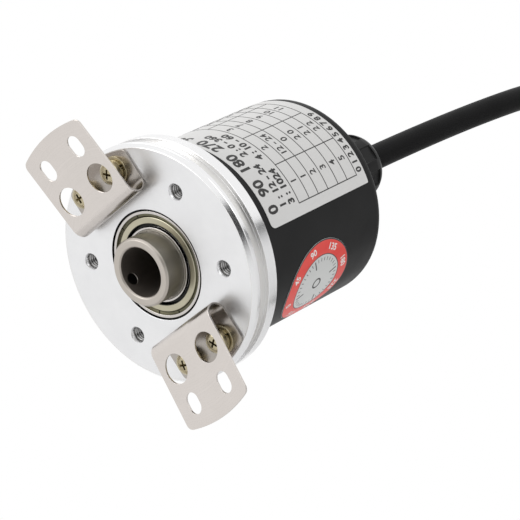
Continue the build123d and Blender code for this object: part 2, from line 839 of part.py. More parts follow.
coil_y = corners[-1].Y - coil_turn_r - coil_lead_r
coil_z = corners[-1].Z
with BuildPart() as cable_coil:
    with BuildSketch(Plane.XY) as coil_section:
        with Locations((gland_x, coil_y + coil_turn_r)):
            Circle(coil_section_r)
    revolve(coil_section.sketch, axis=Axis((0, coil_y, 0), (1, 0, 0)))
save(cable_coil.part.translate((0, 0, coil_z)), "cable_coil")

# Strap tie round the coil's top
tie_z = coil_z + coil_turn_r
with BuildPart() as coil_tie:
    with BuildSketch(across(coil_y - tie_width / 2)) as strap:
        with Locations((gland_x, tie_z)):
            Circle(coil_section_r + tie_thickness)
            Circle(coil_section_r, mode=Mode.SUBTRACT)
        with Locations((gland_x, tie_z + coil_section_r + tie_thickness + tie_head_rise)):
            Rectangle(*tie_head)
        with Locations((gland_x, tie_z)):
            Circle(coil_section_r, mode=Mode.SUBTRACT)
    extrude(strap.sketch, amount=-tie_width)
save(coil_tie.part, "coil_tie")

tail_x = gland_x + tail_offset[0]
tail_y = coil_y + coil_turn_r + coil_lead_r + tail_offset[1]
tail_end_z = coil_z - tail_length
with BuildPart() as cable_tail:
    with BuildSketch(Plane.XY.offset(coil_z)) as tail_section:
        with Locations((tail_x, tail_y)):
            Circle(cable_r)
    extrude(tail_section.sketch, amount=-tail_length)
save(cable_tail.part, "cable_tail")

with BuildPart() as tail_leads:
    for i in range(tail_lead_count):
        near_x, near_y = polar(tail_lead_circle_r, 360.0 * i / tail_lead_count)
        far_x, far_y = polar(tail_lead_circle_r + tail_lead_flare, 360.0 * i / tail_lead_count)
        way = Vector(far_x - near_x, far_y - near_y, -tail_lead_length)
        with BuildSketch(Plane.XY.offset(tail_end_z)) as tail_lead_section:
            with Locations((tail_x + near_x, tail_y + near_y)):
                Circle(lead_r)
        extrude(tail_lead_section.sketch, amount=way.length, dir=way.normalized())
save(tail_leads.part, "tail_leads")
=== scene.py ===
import bmesh
import bpy
import math
from mathutils import Matrix, Vector


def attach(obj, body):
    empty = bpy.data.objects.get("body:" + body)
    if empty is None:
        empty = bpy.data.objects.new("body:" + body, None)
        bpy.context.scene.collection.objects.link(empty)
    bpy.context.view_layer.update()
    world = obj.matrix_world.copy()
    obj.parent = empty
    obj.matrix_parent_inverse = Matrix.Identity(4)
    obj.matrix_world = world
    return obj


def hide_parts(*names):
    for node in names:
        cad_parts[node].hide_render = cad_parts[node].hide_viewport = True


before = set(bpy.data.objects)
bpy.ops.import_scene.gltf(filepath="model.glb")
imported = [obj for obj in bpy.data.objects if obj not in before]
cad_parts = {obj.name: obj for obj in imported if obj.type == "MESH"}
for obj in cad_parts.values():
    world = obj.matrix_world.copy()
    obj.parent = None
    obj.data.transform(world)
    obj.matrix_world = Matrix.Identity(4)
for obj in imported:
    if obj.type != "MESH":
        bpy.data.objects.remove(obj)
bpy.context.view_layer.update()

# Studio: a pale floor under the hanging cable, a white surround and three large soft lamps.
# The floor fades out at its rim, so no edge of it shows.
bpy.context.scene.view_settings.view_transform = "Standard"
surround_light = 0.62
floor_place, floor_r = (0.012, 0.1, -0.2186), 1.0
fade_start, fade_end = 0.35, 0.95
lamp_target = Vector((0, 0.03, 0))


def step(tree, kind, result, links=(), **settings):
    """Adds a node with these settings, and values or links at its inputs, and gives one output."""
    new = tree.nodes.new("ShaderNode" + kind)
    for setting, value in settings.items():
        setattr(new, setting, value)
    for socket, value in links:
        if isinstance(value, bpy.types.NodeSocket):
            tree.links.new(value, new.inputs[socket])
        else:
            new.inputs[socket].default_value = value
    return new.outputs[result]


def reckon(tree, operation, first, second):
    """Works one value out of two."""
    return step(tree, "Math", "Value", [(0, first), (1, second)], operation=operation)


def ranged(tree, value, low=0.0, high=1.0, to_low=0.0, to_high=1.0, **settings):
    """Carries a value over from one range to another."""
    links = [("Value", value), ("From Min", low), ("From Max", high), ("To Min", to_low), ("To Max", to_high)]
    return step(tree, "MapRange", "Result", links, **settings)


def coat(name, colour, roughness, metallic=0.0, **more):
    """A material whose principled shader has these plain values, its node tree, and the shader's inputs."""
    made = bpy.data.materials.new(name)
    made.use_nodes = True
    inputs = made.node_tree.nodes["Principled BSDF"].inputs
    inputs["Base Color"].default_value = (*colour, 1.0)
    inputs["Roughness"].default_value = roughness
    inputs["Metallic"].default_value = metallic
    for socket, value in more.items():
        inputs[socket.replace("_", " ")].default_value = value
    return made, made.node_tree, inputs


world = bpy.data.worlds.new("white_surround")
bpy.context.scene.world = world
world.use_nodes = True
sky = world.node_tree
rays = step(sky, "LightPath", "Is Camera Ray").node.outputs
seen = reckon(sky, "MAXIMUM", rays["Is Camera Ray"], rays["Is Glossy Ray"])
shown = reckon(sky, "MAXIMUM", seen, rays["Is Transmission Ray"])
background = sky.nodes["Background"].inputs
background["Color"].default_value = (1.0, 1.0, 1.0, 1.0)
sky.links.new(ranged(sky, shown, to_low=surround_light), background["Strength"])

floor_paint, tree, inputs = coat("floor_paint", (0.86, 0.86, 0.86), 0.9)
distance = step(tree, "VectorMath", "Value", [(0, step(tree, "TexCoord", "Object"))], operation="LENGTH")
fade = ranged(tree, distance, fade_start, fade_end, interpolation_type="SMOOTHSTEP")
painted, clear = tree.nodes["Principled BSDF"].outputs["BSDF"], step(tree, "BsdfTransparent", "BSDF")
faded = step(tree, "MixShader", "Shader", [("Fac", fade), (1, painted), (2, clear)])
tree.links.new(faded, tree.nodes["Material Output"].inputs["Surface"])

floor_mesh = bpy.data.meshes.new("floor")
floor_form = bmesh.new()
bmesh.ops.create_circle(floor_form, cap_ends=True, segments=96, radius=floor_r)
floor_form.to_mesh(floor_mesh)
floor_form.free()
floor_mesh.materials.append(floor_paint)
floor = bpy.data.objects.new("floor", floor_mesh)
bpy.context.scene.collection.objects.link(floor)
floor.location = floor_place

for lamp_name, lamp_place, lamp_size, lamp_power in (
    ("key_lamp", (-0.25, -1.05, 0.95), 0.9, 6.5),
    ("side_lamp", (1.35, -0.15, 0.35), 0.8, 3.0),
    ("top_lamp", (0.1, 0.5, 1.4), 1.0, 4.0),
):
    lamp = bpy.data.objects.new(lamp_name, bpy.data.lights.new(lamp_name, "AREA"))
    bpy.context.scene.collection.objects.link(lamp)
    lamp.data.size = lamp_size
    lamp.data.energy = lamp_power
    lamp.location = lamp_place
    lamp.rotation_euler = (lamp_target - Vector(lamp_place)).to_track_quat("-Z", "Y").to_euler()

# Two black cards, which only polished metal and gloss see: one behind the camera and one to the right.
card_black, _, _ = coat("card_black", (0.012, 0.012, 0.012), 1.0)
for card_name, card_place, card_width, card_height in (
    ("camera_card", (0.95, -1.0, -0.25), 1.1, 1.0),
    ("right_card", (0.9, 1.1, -0.45), 0.6, 0.4),
):
    card_mesh = bpy.data.meshes.new(card_name)
    w, h = card_width / 2, card_height / 2
    card_mesh.from_pydata([(-w, -h, 0), (w, -h, 0), (w, h, 0), (-w, h, 0)], [], [(0, 1, 2, 3)])
    card_mesh.materials.append(card_black)
    card = bpy.data.objects.new(card_name, card_mesh)
    bpy.context.scene.collection.objects.link(card)
    card.location = card_place
    card.rotation_euler = (-Vector(card_place)).to_track_quat("-Z", "Y").to_euler()
    card.visible_camera = False
    card.visible_diffuse = False
    card.visible_transmission = False
    card.visible_shadow = False

# Camera: a long lens ahead of the bore and to its right, a little below it and rolled to its right.
# Its place, its turn and its lens were fitted to the photograph's frame.
camera = bpy.data.objects.new("camera", bpy.data.cameras.new("camera"))
bpy.context.scene.collection.objects.link(camera)
camera_place = (0.378348, -0.363814, -0.059030)
camera_right = Vector((0.58092911, 0.61519316, -0.53297162))
camera_up = Vector((0.44029669, 0.31321396, 0.84144865))
camera_axes = Matrix((camera_right, camera_up, camera_right.cross(camera_up))).transposed()
camera.matrix_world = Matrix.Translation(camera_place) @ camera_axes.to_4x4()
camera.data.sensor_width = 36.0
camera.data.lens = 159.92
camera.data.clip_start = 0.02
camera.data.clip_end = 20.0
bpy.context.scene.camera = camera

# Flange: turned from aluminium bar and left bare, with fine tool marks round the shaft's axis.
# Its hub holds both bearings, its spigot carries the can, and four M4 holes are tapped in its face.
# Sizes are in millimetres: radii from the shaft's axis, and places along it from the bore's open end.
MM = 0.001
face_y, plate_back = 5.7, 13.75
rim_r, rim_groove_r, rim_groove_front, rim_groove_rear = 29.0, 28.0, 7.7, 10.75
seat_r, hub_r, hub_shoulder_r, hub_end = 13.0, 15.0, 11.6, 25.7
front_bearing_y, rear_bearing_y, bearing_width = 5.9, 17.9, 5.0
hub_ring_r, hub_ring_front, hub_ring_rear = 13.6, 23.8, 24.7
spigot_r, spigot_bore_r, spigot_end = 23.45, 18.65, 21.75
seal_r, seal_front, seal_rear = 22.2, 16.95, 18.55
mouth_r, mouth_y = 13.4, 6.5
tap_circle_r, tap_angles, tap_pitch, tap_turns = 20.5, (30.0, 150.0, 210.0, 330.0), 0.7, 9
tap_crest_r, tap_valley_r, tap_start = 1.66, 2.02, 6.5
bracket_screw_x, bracket_screw_z = 6.0, 22.8
pillar_circle_r, pillar_angles = 21.0, (30.0, 150.0, 270.0)


def around(radius, degrees):
    """The place (x, z) in millimetres at a radius and an angle."""
    return radius * math.cos(math.radians(degrees)), radius * math.sin(math.radians(degrees))


def effect(name, inputs, outputs):
    """A shader node group whose inputs are numbers, or colours where a value has four parts."""
    tree = bpy.data.node_groups.new(name, "ShaderNodeTree")
    for label, value in inputs.items():
        kind = "NodeSocketColor" if isinstance(value, tuple) else "NodeSocketFloat"
        tree.interface.new_socket(label, in_out="INPUT", socket_type=kind).default_value = value
    for label in outputs:
        kind = "NodeSocketColor" if label == "Color" else "NodeSocketFloat"
        tree.interface.new_socket(label, in_out="OUTPUT", socket_type=kind)
    return tree, tree.nodes.new("NodeGroupInput").outputs, tree.nodes.new("NodeGroupOutput").inputs


def placed(tree, group, **values):
    """Places a group in a material's tree with its own values or links, and gives its outputs."""
    return step(tree, "Group", 0, values.items(), node_tree=group).node.outputs


def blended(tree, share, first, second):
    """Mixes two colours by a share from 0 to 1."""
    return step(tree, "Mix", 2, [(0, share), (6, first), (7, second)], data_type="RGBA")


def feed(tree, inputs, colour, roughness, height, depth):
    """Feeds the shader with a colour, a roughness, and a height as a bump of that depth in metres."""
    tree.links.new(colour, inputs["Base Color"])
    tree.links.new(roughness, inputs["Roughness"])
    tree.links.new(step(tree, "Bump", "Normal", [("Height", height), ("Distance", depth)]), inputs["Normal"])


def from_axis(tree, place):
    """How far a place lies from the shaft's axis."""
    level = step(tree, "VectorMath", "Vector", [(0, place), (1, (1.0, 0.0, 1.0))], operation="MULTIPLY")
    return step(tree, "VectorMath", "Value", [(0, level)], operation="LENGTH")


# Tool marks: rings round the shaft's axis on a turned face, and lines round a turned cylinder.
turned_marks, given, out = effect(
    "turned_marks",
    {"Light": (0.8, 0.8, 0.8, 1), "Dark": (0.6, 0.6, 0.6, 1), "Smooth": 0.2, "Rough": 0.4, "Pitch": 9000.0},
    ["Color", "Roughness", "Height", "Radius"])
spot = step(turned_marks, "TexCoord", "Object")
radius = from_axis(turned_marks, spot)
reach = reckon(turned_marks, "ADD", radius, step(turned_marks, "SeparateXYZ", "Y", [(0, spot)]))
ring = reckon(turned_marks, "MULTIPLY", reach, given["Pitch"])
marks = step(
    turned_marks, "TexNoise", "Fac", [("W", ring), ("Scale", 1.0), ("Detail", 3.0)], noise_dimensions="1D")
cloud = step(turned_marks, "TexNoise", "Fac", [("Vector", spot), ("Scale", 260.0), ("Detail", 4.0)])
share = reckon(turned_marks, "MULTIPLY", reckon(turned_marks, "ADD", marks, cloud), 0.5)
turned_marks.links.new(blended(turned_marks, share, given["Dark"], given["Light"]), out["Color"])
turned_marks.links.new(
    ranged(turned_marks, share, to_low=given["Rough"], to_high=given["Smooth"]), out["Roughness"])
turned_marks.links.new(marks, out["Height"])
turned_marks.links.new(radius, out["Radius"])

# Zone: 1 where a surface lies between two distances from the shaft's axis, and 0 elsewhere.
zone, given, out = effect("zone", {"Radius": 0.0, "From": 0.0, "To": 0.01}, ["Inside"])
past = reckon(zone, "GREATER_THAN", given["Radius"], given["From"])
short = reckon(zone, "LESS_THAN", given["Radius"], given["To"])
zone.links.new(reckon(zone, "MULTIPLY", past, short), out["Inside"])

# Tapped: the inside of the face's four tapped holes, painted with shade below their mouths, fullest in the
# thread's valleys.
tapped, given, out = effect("tapped", {"Reach": 0.0021}, ["Inside"])
spot = step(tapped, "TexCoord", "Object")
tap_x, tap_z = around(tap_circle_r, tap_angles[0])
one_corner = step(tapped, "VectorMath", "Vector", [(0, spot)], operation="ABSOLUTE")
hole_place = (tap_x * MM, 0.0, tap_z * MM)
from_hole = step(tapped, "VectorMath", "Vector", [(0, one_corner), (1, hole_place)], operation="SUBTRACT")
hole_distance = from_axis(tapped, from_hole)
within = reckon(tapped, "LESS_THAN", hole_distance, given["Reach"])
below_mouth = reckon(tapped, "GREATER_THAN", step(tapped, "SeparateXYZ", "Y", [(0, spot)]), 0.0062)
valley_shade = ranged(tapped, hole_distance, 0.00172, 0.00188, 0.25, 1.0)
inner_wall = reckon(tapped, "MULTIPLY", within, below_mouth)
tapped.links.new(reckon(tapped, "MULTIPLY", inner_wall, valley_shade), out["Inside"])


def turned(name, light, dark, smooth, rough, pitch=9000.0, depth=0.000004, zones=(), hole_shade=None):
    """A bare metal with the lathe's marks; zones (mm from the axis) may differ in colour, some as painted
    shade, and the tapped holes can be painted with shade inside.
    """
    made, tree, inputs = coat(name, light, rough, 1.0)
    found = placed(
        tree, turned_marks, Light=(*light, 1), Dark=(*dark, 1), Smooth=smooth, Rough=rough, Pitch=pitch)
    colour, roughness = found["Color"], found["Roughness"]
    for inner, outer, zone_colour, *zone_roughness in zones:
        inside = placed(tree, zone, Radius=found["Radius"], From=inner * MM, To=outer * MM)["Inside"]
        cover = inside
        if zone_roughness:
            streaks = ranged(tree, found["Height"], 0.35, 0.65, 0.86, 1.0)
            cover = reckon(tree, "MULTIPLY", inside, streaks)
            roughness = step(
                tree, "Mix", 0, [(0, inside), (2, roughness), (3, zone_roughness[0])], data_type="FLOAT")
        colour = blended(tree, cover, colour, (*zone_colour, 1))
    # Painted shade inside the tapped holes, strongest in the thread's valleys.
    if hole_shade:
        colour = blended(tree, placed(tree, tapped)["Inside"], colour, (*hole_shade, 1))
    feed(tree, inputs, colour, roughness, found["Height"], depth)
    return made


def eased(outline, radius, steps=3):
    """A closed outline whose corners are rounded by up to that radius."""
    points = []
    for i, corner in enumerate(outline):
        corner = Vector(corner)
        if corner.x < 1e-6:
            points.append(corner)
            continue
        before = Vector(outline[i - 1]) - corner
        after = Vector(outline[(i + 1) % len(outline)]) - corner
        cut_back = min(radius, 0.45 * before.length, 0.45 * after.length)
        near, far = corner + before.normalized() * cut_back, corner + after.normalized() * cut_back
        for k in range(steps + 1):
            t = k / steps
            points.append((1 - t) ** 2 * near + 2 * t * (1 - t) * corner + t * t * far)
    return points


def lathe(form, outline, place=(0.0, 0.0), parts=128, ease=0.12):
    """Adds the solid that an outline of (radius, y) in millimetres makes as it turns about a line along Y."""
    points = eased(outline, ease) if ease else [Vector(p) for p in outline]
    loops = []
    for i in range(parts):
        x, z = around(1.0, 360.0 * i / parts)
        loops.append([
            form.verts.new(((place[0] + p.x * x) * MM, p.y * MM, (place[1] + p.x * z) * MM)) for p in points])
    for i in range(parts):
        a, b = loops[i], loops[(i + 1) % parts]
        for k in range(len(points)):
            n = (k + 1) % len(points)
            if points[k].x < 1e-6 and points[n].x < 1e-6:
                continue
            form.faces.new((a[k], a[n], b[n], b[k]))
    bmesh.ops.remove_doubles(form, verts=form.verts, dist=1e-8)
    return form


def face_outwards(form):
    """Turns each closed shell of a form so that its faces look out of it."""
    bmesh.ops.recalc_face_normals(form, faces=form.faces)
    waiting = set(form.faces)
    while waiting:
        shell = [waiting.pop()]
        for face in shell:
            for edge in face.edges:
                for beside in edge.link_faces:
                    if beside in waiting:
                        waiting.remove(beside)
                        shell.append(beside)
        if sum(face.normal.dot(face.calc_center_median()) * face.calc_area() for face in shell) < 0:
            bmesh.ops.reverse_faces(form, faces=shell)


def piece(name, form, finish, body, slot, *nodes):
    """Makes a piece from a bmesh: its finish, the body that it rides on, and the nodes that it stands for."""
    mesh = bpy.data.meshes.new(name)
    face_outwards(form)
    form.to_mesh(mesh)
    form.free()
    mesh.materials.append(finish)
    mesh.shade_smooth()
    mesh.set_sharp_from_angle(angle=math.radians(42))
    made = bpy.data.objects.new(name, mesh)
    bpy.context.scene.collection.objects.link(made)
    level_normals = made.modifiers.new("level_normals", "WEIGHTED_NORMAL")
    level_normals.keep_sharp = True
    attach(made, body)
    if nodes:
        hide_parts(*nodes)
    return made


def cut(form, tools, crossing=False):
    """The form with the tools' volumes taken out of it; both are closed solids, and tools may cross."""
    pair = []
    for part in (form, tools):
        bmesh.ops.recalc_face_normals(part, faces=part.faces)
        mesh = bpy.data.meshes.new("cutting")
        part.to_mesh(mesh)
        part.free()
        held = bpy.data.objects.new("cutting", mesh)
        bpy.context.scene.collection.objects.link(held)
        pair.append(held)
    knife = pair[0].modifiers.new("knife", "BOOLEAN")
    knife.solver = "EXACT"
    knife.use_self = crossing
    knife.object = pair[1]
    bpy.context.view_layer.update()
    result = bmesh.new()
    result.from_object(pair[0], bpy.context.evaluated_depsgraph_get())
    for held in pair:
        mesh = held.data
        bpy.data.objects.remove(held)
        bpy.data.meshes.remove(mesh)
    return result


# Two of the flange's zones are painted shade: near black in the mouth's recess round the front bearing, and a
# duller grey on the floor of the rim's groove.
bare_aluminium = turned(
    "bare_aluminium", (0.85, 0.85, 0.853), (0.70, 0.70, 0.71), 0.26, 0.44,
    zones=[(12.9, 13.43, (0.03, 0.029, 0.028)), (27.9, 28.02, (0.74, 0.73, 0.71)),
           (28.12, 29.1, (0.88, 0.88, 0.885), 0.2)], hole_shade=(0.16, 0.155, 0.145))
flange_form = lathe(bmesh.new(), [
    (mouth_r, face_y), (28.1, face_y), (rim_r, 6.6), (rim_r, rim_groove_front),
    (rim_groove_r, rim_groove_front), (rim_groove_r, rim_groove_rear), (rim_r, rim_groove_rear),
    (rim_r, plate_back), (spigot_r, plate_back),
    (spigot_r, seal_front), (seal_r, seal_front), (seal_r, seal_rear), (spigot_r, seal_rear),
    (spigot_r, spigot_end), (spigot_bore_r, spigot_end), (spigot_bore_r, plate_back), (hub_r, plate_back),
    (hub_r, hub_end), (seat_r, hub_end), (seat_r, hub_ring_rear), (hub_ring_r, hub_ring_rear),
    (hub_ring_r, hub_ring_front), (seat_r, hub_ring_front), (seat_r, rear_bearing_y),
    (hub_shoulder_r, rear_bearing_y), (hub_shoulder_r, front_bearing_y + bearing_width),
    (seat_r, front_bearing_y + bearing_width), (seat_r, mouth_y), (mouth_r, mouth_y)], ease=0.14)
thread = [(0.0, 5.0), (2.65, 5.0), (1.68, 6.2)]
for turn_number in range(tap_turns):
    ridge = tap_start + tap_pitch * turn_number
    thread += [(tap_crest_r, ridge), (tap_valley_r, ridge + tap_pitch / 2)]
thread += [(tap_crest_r, 12.7), (0.0, 13.5)]
flange_tools = bmesh.new()
for tap_angle in tap_angles:
    lathe(flange_tools, thread, around(tap_circle_r, tap_angle), parts=32, ease=0.0)
for x in (-bracket_screw_x, bracket_screw_x):
    for z in (-bracket_screw_z, bracket_screw_z):
        lathe(flange_tools, [(0.0, 5.0), (1.5, 5.0), (1.5, 11.7), (0.0, 11.7)], (x, z), parts=24, ease=0.0)
for pillar_angle in pillar_angles:
    lathe(flange_tools, [(0.0, 16.75), (1.0, 16.75), (1.0, 22.0), (0.0, 22.0)],
          around(pillar_circle_r, pillar_angle), parts=20, ease=0.0)
piece("flange_turned", cut(flange_form, flange_tools), bare_aluminium, "housing", "bare_aluminium", "flange")

# Ball bearings: two of 17 x 26 x 5, pressed into the hub from both sides. The rings are hardened and ground
# bright, and the cages are brass coloured. The shields are pressed sheet, crimped into the outer ring, and
# look a little yellow from the grease behind them.
bearing_bore_r, inner_land_r, inner_shoulder_r = 8.5, 9.06, 10.05
ball_circle_r, race_r, outer_shoulder_r, outer_land_r = 10.75, 1.24, 11.45, 12.3
shield_step, shield_lip_r, notch_count = 0.85, 9.76, 24
shield_section = (
    (shield_lip_r, 0.2), (11.3, 0.2), (11.45, 0.28), (11.7, 0.6), (outer_land_r, 0.6),
    (outer_land_r, shield_step), (11.45, shield_step), (11.2, 0.5), (11.1, 0.45), (shield_lip_r, 0.45))
bearing_steel = turned(
    "bearing_steel", (0.66, 0.65, 0.62), (0.50, 0.49, 0.46), 0.14, 0.26, 16000.0, 0.0000015)
# The shields' two zones are painted shade: dark in the gap at their crimped, notched rim, and near black in
# the gap at their lip.
shield_steel = turned("shield_steel", (0.56, 0.53, 0.41), (0.40, 0.37, 0.27), 0.24, 0.40, 5000.0, 0.000003,
                      zones=[(11.42, 12.4, (0.12, 0.115, 0.075)), (9.0, 10.0, (0.02, 0.02, 0.017))])
cage_steel = turned("cage_steel", (0.30, 0.25, 0.15), (0.20, 0.16, 0.09), 0.3, 0.45, 6000.0, 0.000003)
# The rings' zones are painted shade: near black by the bore, between the lands where the shields sit, and at
# the outer edge by the seat.
ring_steel = turned("ring_steel", (0.66, 0.63, 0.60), (0.52, 0.49, 0.47), 0.14, 0.26, 16000.0, 0.0000015,
                    zones=[(8.4, 8.6, (0.04, 0.04, 0.04)), (9.1, 12.26, (0.02, 0.02, 0.019)),
                           (12.94, 13.1, (0.05, 0.05, 0.05))])


def block(form, size, place=(0.0, 0.0, 0.0)):
    """Adds a block of that size about a place, in millimetres, and gives its points."""
    made = bmesh.ops.create_cube(form, size=MM)["verts"]
    bmesh.ops.scale(form, vec=size, verts=made)
    shift(form, place, made)
    return made


def shift(form, by, points):
    """Moves these points of a form by that many millimetres."""
    bmesh.ops.translate(form, vec=[way * MM for way in by], verts=points)


def turn(form, degrees, points, axis="Y"):
    """Turns these points of a form about an axis through the origin."""
    by = Matrix.Rotation(math.radians(degrees), 3, axis)
    bmesh.ops.rotate(form, cent=(0, 0, 0), matrix=by, verts=points)


def wear(node, finish):
    """Gives a node that is carried over as it is its finish."""
    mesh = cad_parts[node].data
    mesh.materials.clear()
    mesh.materials.append(finish)


race = [around(race_r, a) for a in range(-50, 51, 10)]
for end, start in (("front", front_bearing_y), ("rear", rear_bearing_y)):
    middle, far = start + bearing_width / 2, start + bearing_width
    outer = lathe(bmesh.new(), [
        (seat_r, start), (seat_r, far), (outer_land_r, far), (outer_land_r, far - shield_step),
        (outer_shoulder_r, far - shield_step), *[(ball_circle_r + x, middle + y) for x, y in reversed(race)],
        (outer_shoulder_r, start + shield_step), (outer_land_r, start + shield_step), (outer_land_r, start)],
        ease=0.1)
    piece(end + "_outer_ring_ground", outer, ring_steel, "housing", "bearing_steel",
          end + "_bearing_outer_ring")
    inner = lathe(bmesh.new(), [
        (bearing_bore_r, start), (inner_land_r, start), (inner_land_r, start + shield_step),
        (inner_shoulder_r, start + shield_step), *[(ball_circle_r - x, middle + y) for x, y in race],
        (inner_shoulder_r, far - shield_step), (inner_land_r, far - shield_step), (inner_land_r, far),
        (bearing_bore_r, far)], ease=0.1)
    piece(end + "_inner_ring_ground", inner, ring_steel, "rotor", "bearing_steel",
          end + "_bearing_inner_ring")
    shields = bmesh.new()
    for lip, inward in ((start, 1), (far, -1)):
        lathe(shields, [(r, lip + deep * inward) for r, deep in shield_section], ease=0.08)
    notches = bmesh.new()
    for notch_number in range(notch_count):
        notch_y = start + 0.72 if notch_number < notch_count / 2 else far - 0.72
        notch = block(notches, (0.9, 0.5, 0.34), (12.2, notch_y, 0.0))
        turn(notches, 30 * notch_number + 12, notch)
    piece(end + "_shields_pressed", cut(shields, notches), shield_steel, "housing", "shield_steel",
          end + "_bearing_shields")
    wear(end + "_bearing_balls", bearing_steel)
    wear(end + "_bearing_cage", cage_steel)

# Rings and preload spring: hardened spring steel with a dark phosphate finish. The conical washer presses the
# rear bearing forwards, and the open rings snap into their grooves in the hub and on the shaft.
spring_steel = turned("spring_steel", (0.22, 0.22, 0.21), (0.12, 0.12, 0.12), 0.32, 0.5, 7000.0, 0.000003)
for node in ("preload_spring", "hub_retaining_ring", "shaft_circlip"):
    wear(node, spring_steel)

# Shaft: turned stainless steel with a blind bore 12 mm across, and two tapped holes for set screws in its
# nose. The nose is ground, and the bore shows the boring bar's marks.
bore_r, bore_end, bore_tip = 6.0, 25.0, 26.2
nose_r, shoulder_r, clip_groove_r = 8.3, 9.4, 8.0
set_screw_y, set_screw_angles = 2.8, (176.0, 266.0)
# The bore's dark colour is painted shade, and so is the darker band on the nose's side where it runs into the
# bearing.
shaft_steel = turned("shaft_steel", (0.55, 0.51, 0.465), (0.42, 0.385, 0.345), 0.34, 0.48, 8000.0, 0.000004,
                     zones=[(0.0, 6.03, (0.19, 0.165, 0.145), 0.62), (8.24, 9.5, (0.33, 0.31, 0.27))])


def join(form, part):
    """Adds one bmesh to another."""
    held = bpy.data.meshes.new("joined")
    part.to_mesh(held)
    part.free()
    form.from_mesh(held)
    bpy.data.meshes.remove(held)


shaft_form = lathe(bmesh.new(), [
    (6.35, 0.0), (7.8, 0.0), (nose_r, 0.5), (nose_r, front_bearing_y), (bearing_bore_r, front_bearing_y),
    (bearing_bore_r, front_bearing_y + bearing_width), (shoulder_r, front_bearing_y + bearing_width),
    (shoulder_r, rear_bearing_y), (bearing_bore_r, rear_bearing_y),
    (bearing_bore_r, rear_bearing_y + bearing_width), (clip_groove_r, rear_bearing_y + bearing_width),
    (clip_groove_r, 23.8), (bearing_bore_r, 23.8), (bearing_bore_r, 26.1), (8.0, 26.1), (8.0, 31.0),
    (0.0, 31.0), (0.0, bore_tip), (1.2, 25.5), (bore_r, bore_end), (bore_r, 0.35)], ease=0.1)
screw_thread = [(0.0, -10.0), (1.9, -10.0), (1.9, -8.2), (1.52, -7.9)]
for ridge in range(4):
    screw_thread += [(1.66, -7.65 + 0.5 * ridge), (1.5, -7.4 + 0.5 * ridge)]
screw_thread += [(1.5, -4.0), (0.0, -4.0)]
shaft_tools = bmesh.new()
for screw_angle in set_screw_angles:
    hole = lathe(bmesh.new(), screw_thread, parts=28, ease=0.0)
    turn(hole, 90, hole.verts, "Z")
    turn(hole, -screw_angle, hole.verts)
    shift(hole, (0, set_screw_y, 0), hole.verts)
    join(shaft_tools, hole)
piece("shaft_turned", cut(shaft_form, shaft_tools), shaft_steel, "rotor", "shaft_steel", "hollow_shaft")

# Set screws: two hexagon-socket screws of blackened steel, cup ended.
# They are screwed into the shaft's nose and clamp the machine's shaft.
screw_black = turned("screw_black", (0.13, 0.125, 0.12), (0.06, 0.058, 0.055), 0.25, 0.42, 6000.0, 0.000003)
wear("shaft_set_screws", screw_black)

# Code disc: glass with chromed lines near its rim, bonded to a turned aluminium hub on the shaft's end.
# The lines are 0.01 mm thick and lie in three rings, of which the outer one is the finest.
track_y, line_thickness, line_pitch, line_count = 29.002, 0.01, 2.0, 180
code_rings = ((16.3, 18.1, 1), (14.8, 15.9, 4), (13.3, 14.4, 12))
hub_aluminium = turned("hub_aluminium", (0.78, 0.78, 0.79), (0.6, 0.6, 0.61), 0.28, 0.45)
wear("disc_hub", hub_aluminium)
dust, given, out = effect("dust", {"Clean": 0.02, "Dusty": 0.2}, ["Roughness"])
spot = step(dust, "TexCoord", "Object")
specks = step(dust, "TexNoise", "Fac", [("Vector", spot), ("Scale", 700.0), ("Detail", 6.0)])
dust.links.new(ranged(dust, specks, 0.55, 0.8, given["Clean"], given["Dusty"]), out["Roughness"])


def clear_glass(name, colour, refraction):
    """A clear glass or resin with a trace of dust on it."""
    made, tree, inputs = coat(name, colour, 0.05, Transmission_Weight=1.0, IOR=refraction)
    tree.links.new(placed(tree, dust)["Roughness"], inputs["Roughness"])
    return made


disc_glass = clear_glass("disc_glass", (0.92, 0.97, 0.95), 1.52)
wear("code_disc", disc_glass)
chrome_track = turned("chrome_track", (0.30, 0.29, 0.28), (0.2, 0.2, 0.2), 0.12, 0.22, 20000.0, 0.000001)
track = bmesh.new()
for line_number in range(line_count):
    for near, far, every in code_rings:
        if line_number % every:
            continue
        angles = [line_pitch * line_number + k for k in range(every + 1)]
        points = [(far, a) for a in angles] + [(near, a) for a in reversed(angles)]
        rear, front = [], []
        for r, a in points:
            x, z = around(r, a)
            rear.append(track.verts.new((x * MM, (track_y + line_thickness) * MM, z * MM)))
            front.append(track.verts.new((x * MM, track_y * MM, z * MM)))
        track.faces.new(rear)
        track.faces.new(list(reversed(front)))
        for k in range(len(points)):
            track.faces.new((rear[k - 1], front[k - 1], front[k], rear[k]))
piece("code_track_lines", track, chrome_track, "rotor", "disc_glass")

# Light source: a lamp in a moulded black holder in front of the disc, with a collimator lens, and a mask
# glass behind the disc. The lamp shines through the disc's lines onto the sensor behind them.
powder, given, out = effect(
    "powder", {
        "Base": (0.02, 0.02, 0.02, 1), "Rubbed": (0.05, 0.05, 0.05, 1),
        "Smooth": 0.4, "Rough": 0.6, "Grain": 2200.0},
    ["Color", "Roughness", "Height"])
spot = step(powder, "TexCoord", "Object")
grain = step(powder, "TexNoise", "Fac", [("Vector", spot), ("Scale", given["Grain"]), ("Detail", 2.0)])
patch = step(powder, "TexNoise", "Fac", [("Vector", spot), ("Scale", 90.0), ("Detail", 5.0)])
edges = ranged(powder, step(powder, "NewGeometry", "Pointiness"), 0.53, 0.62)
rub = reckon(powder, "MULTIPLY", edges, patch)
powder.links.new(blended(powder, rub, given["Base"], given["Rubbed"]), out["Color"])
powder.links.new(ranged(powder, patch, 0.3, 0.7, given["Smooth"], given["Rough"]), out["Roughness"])
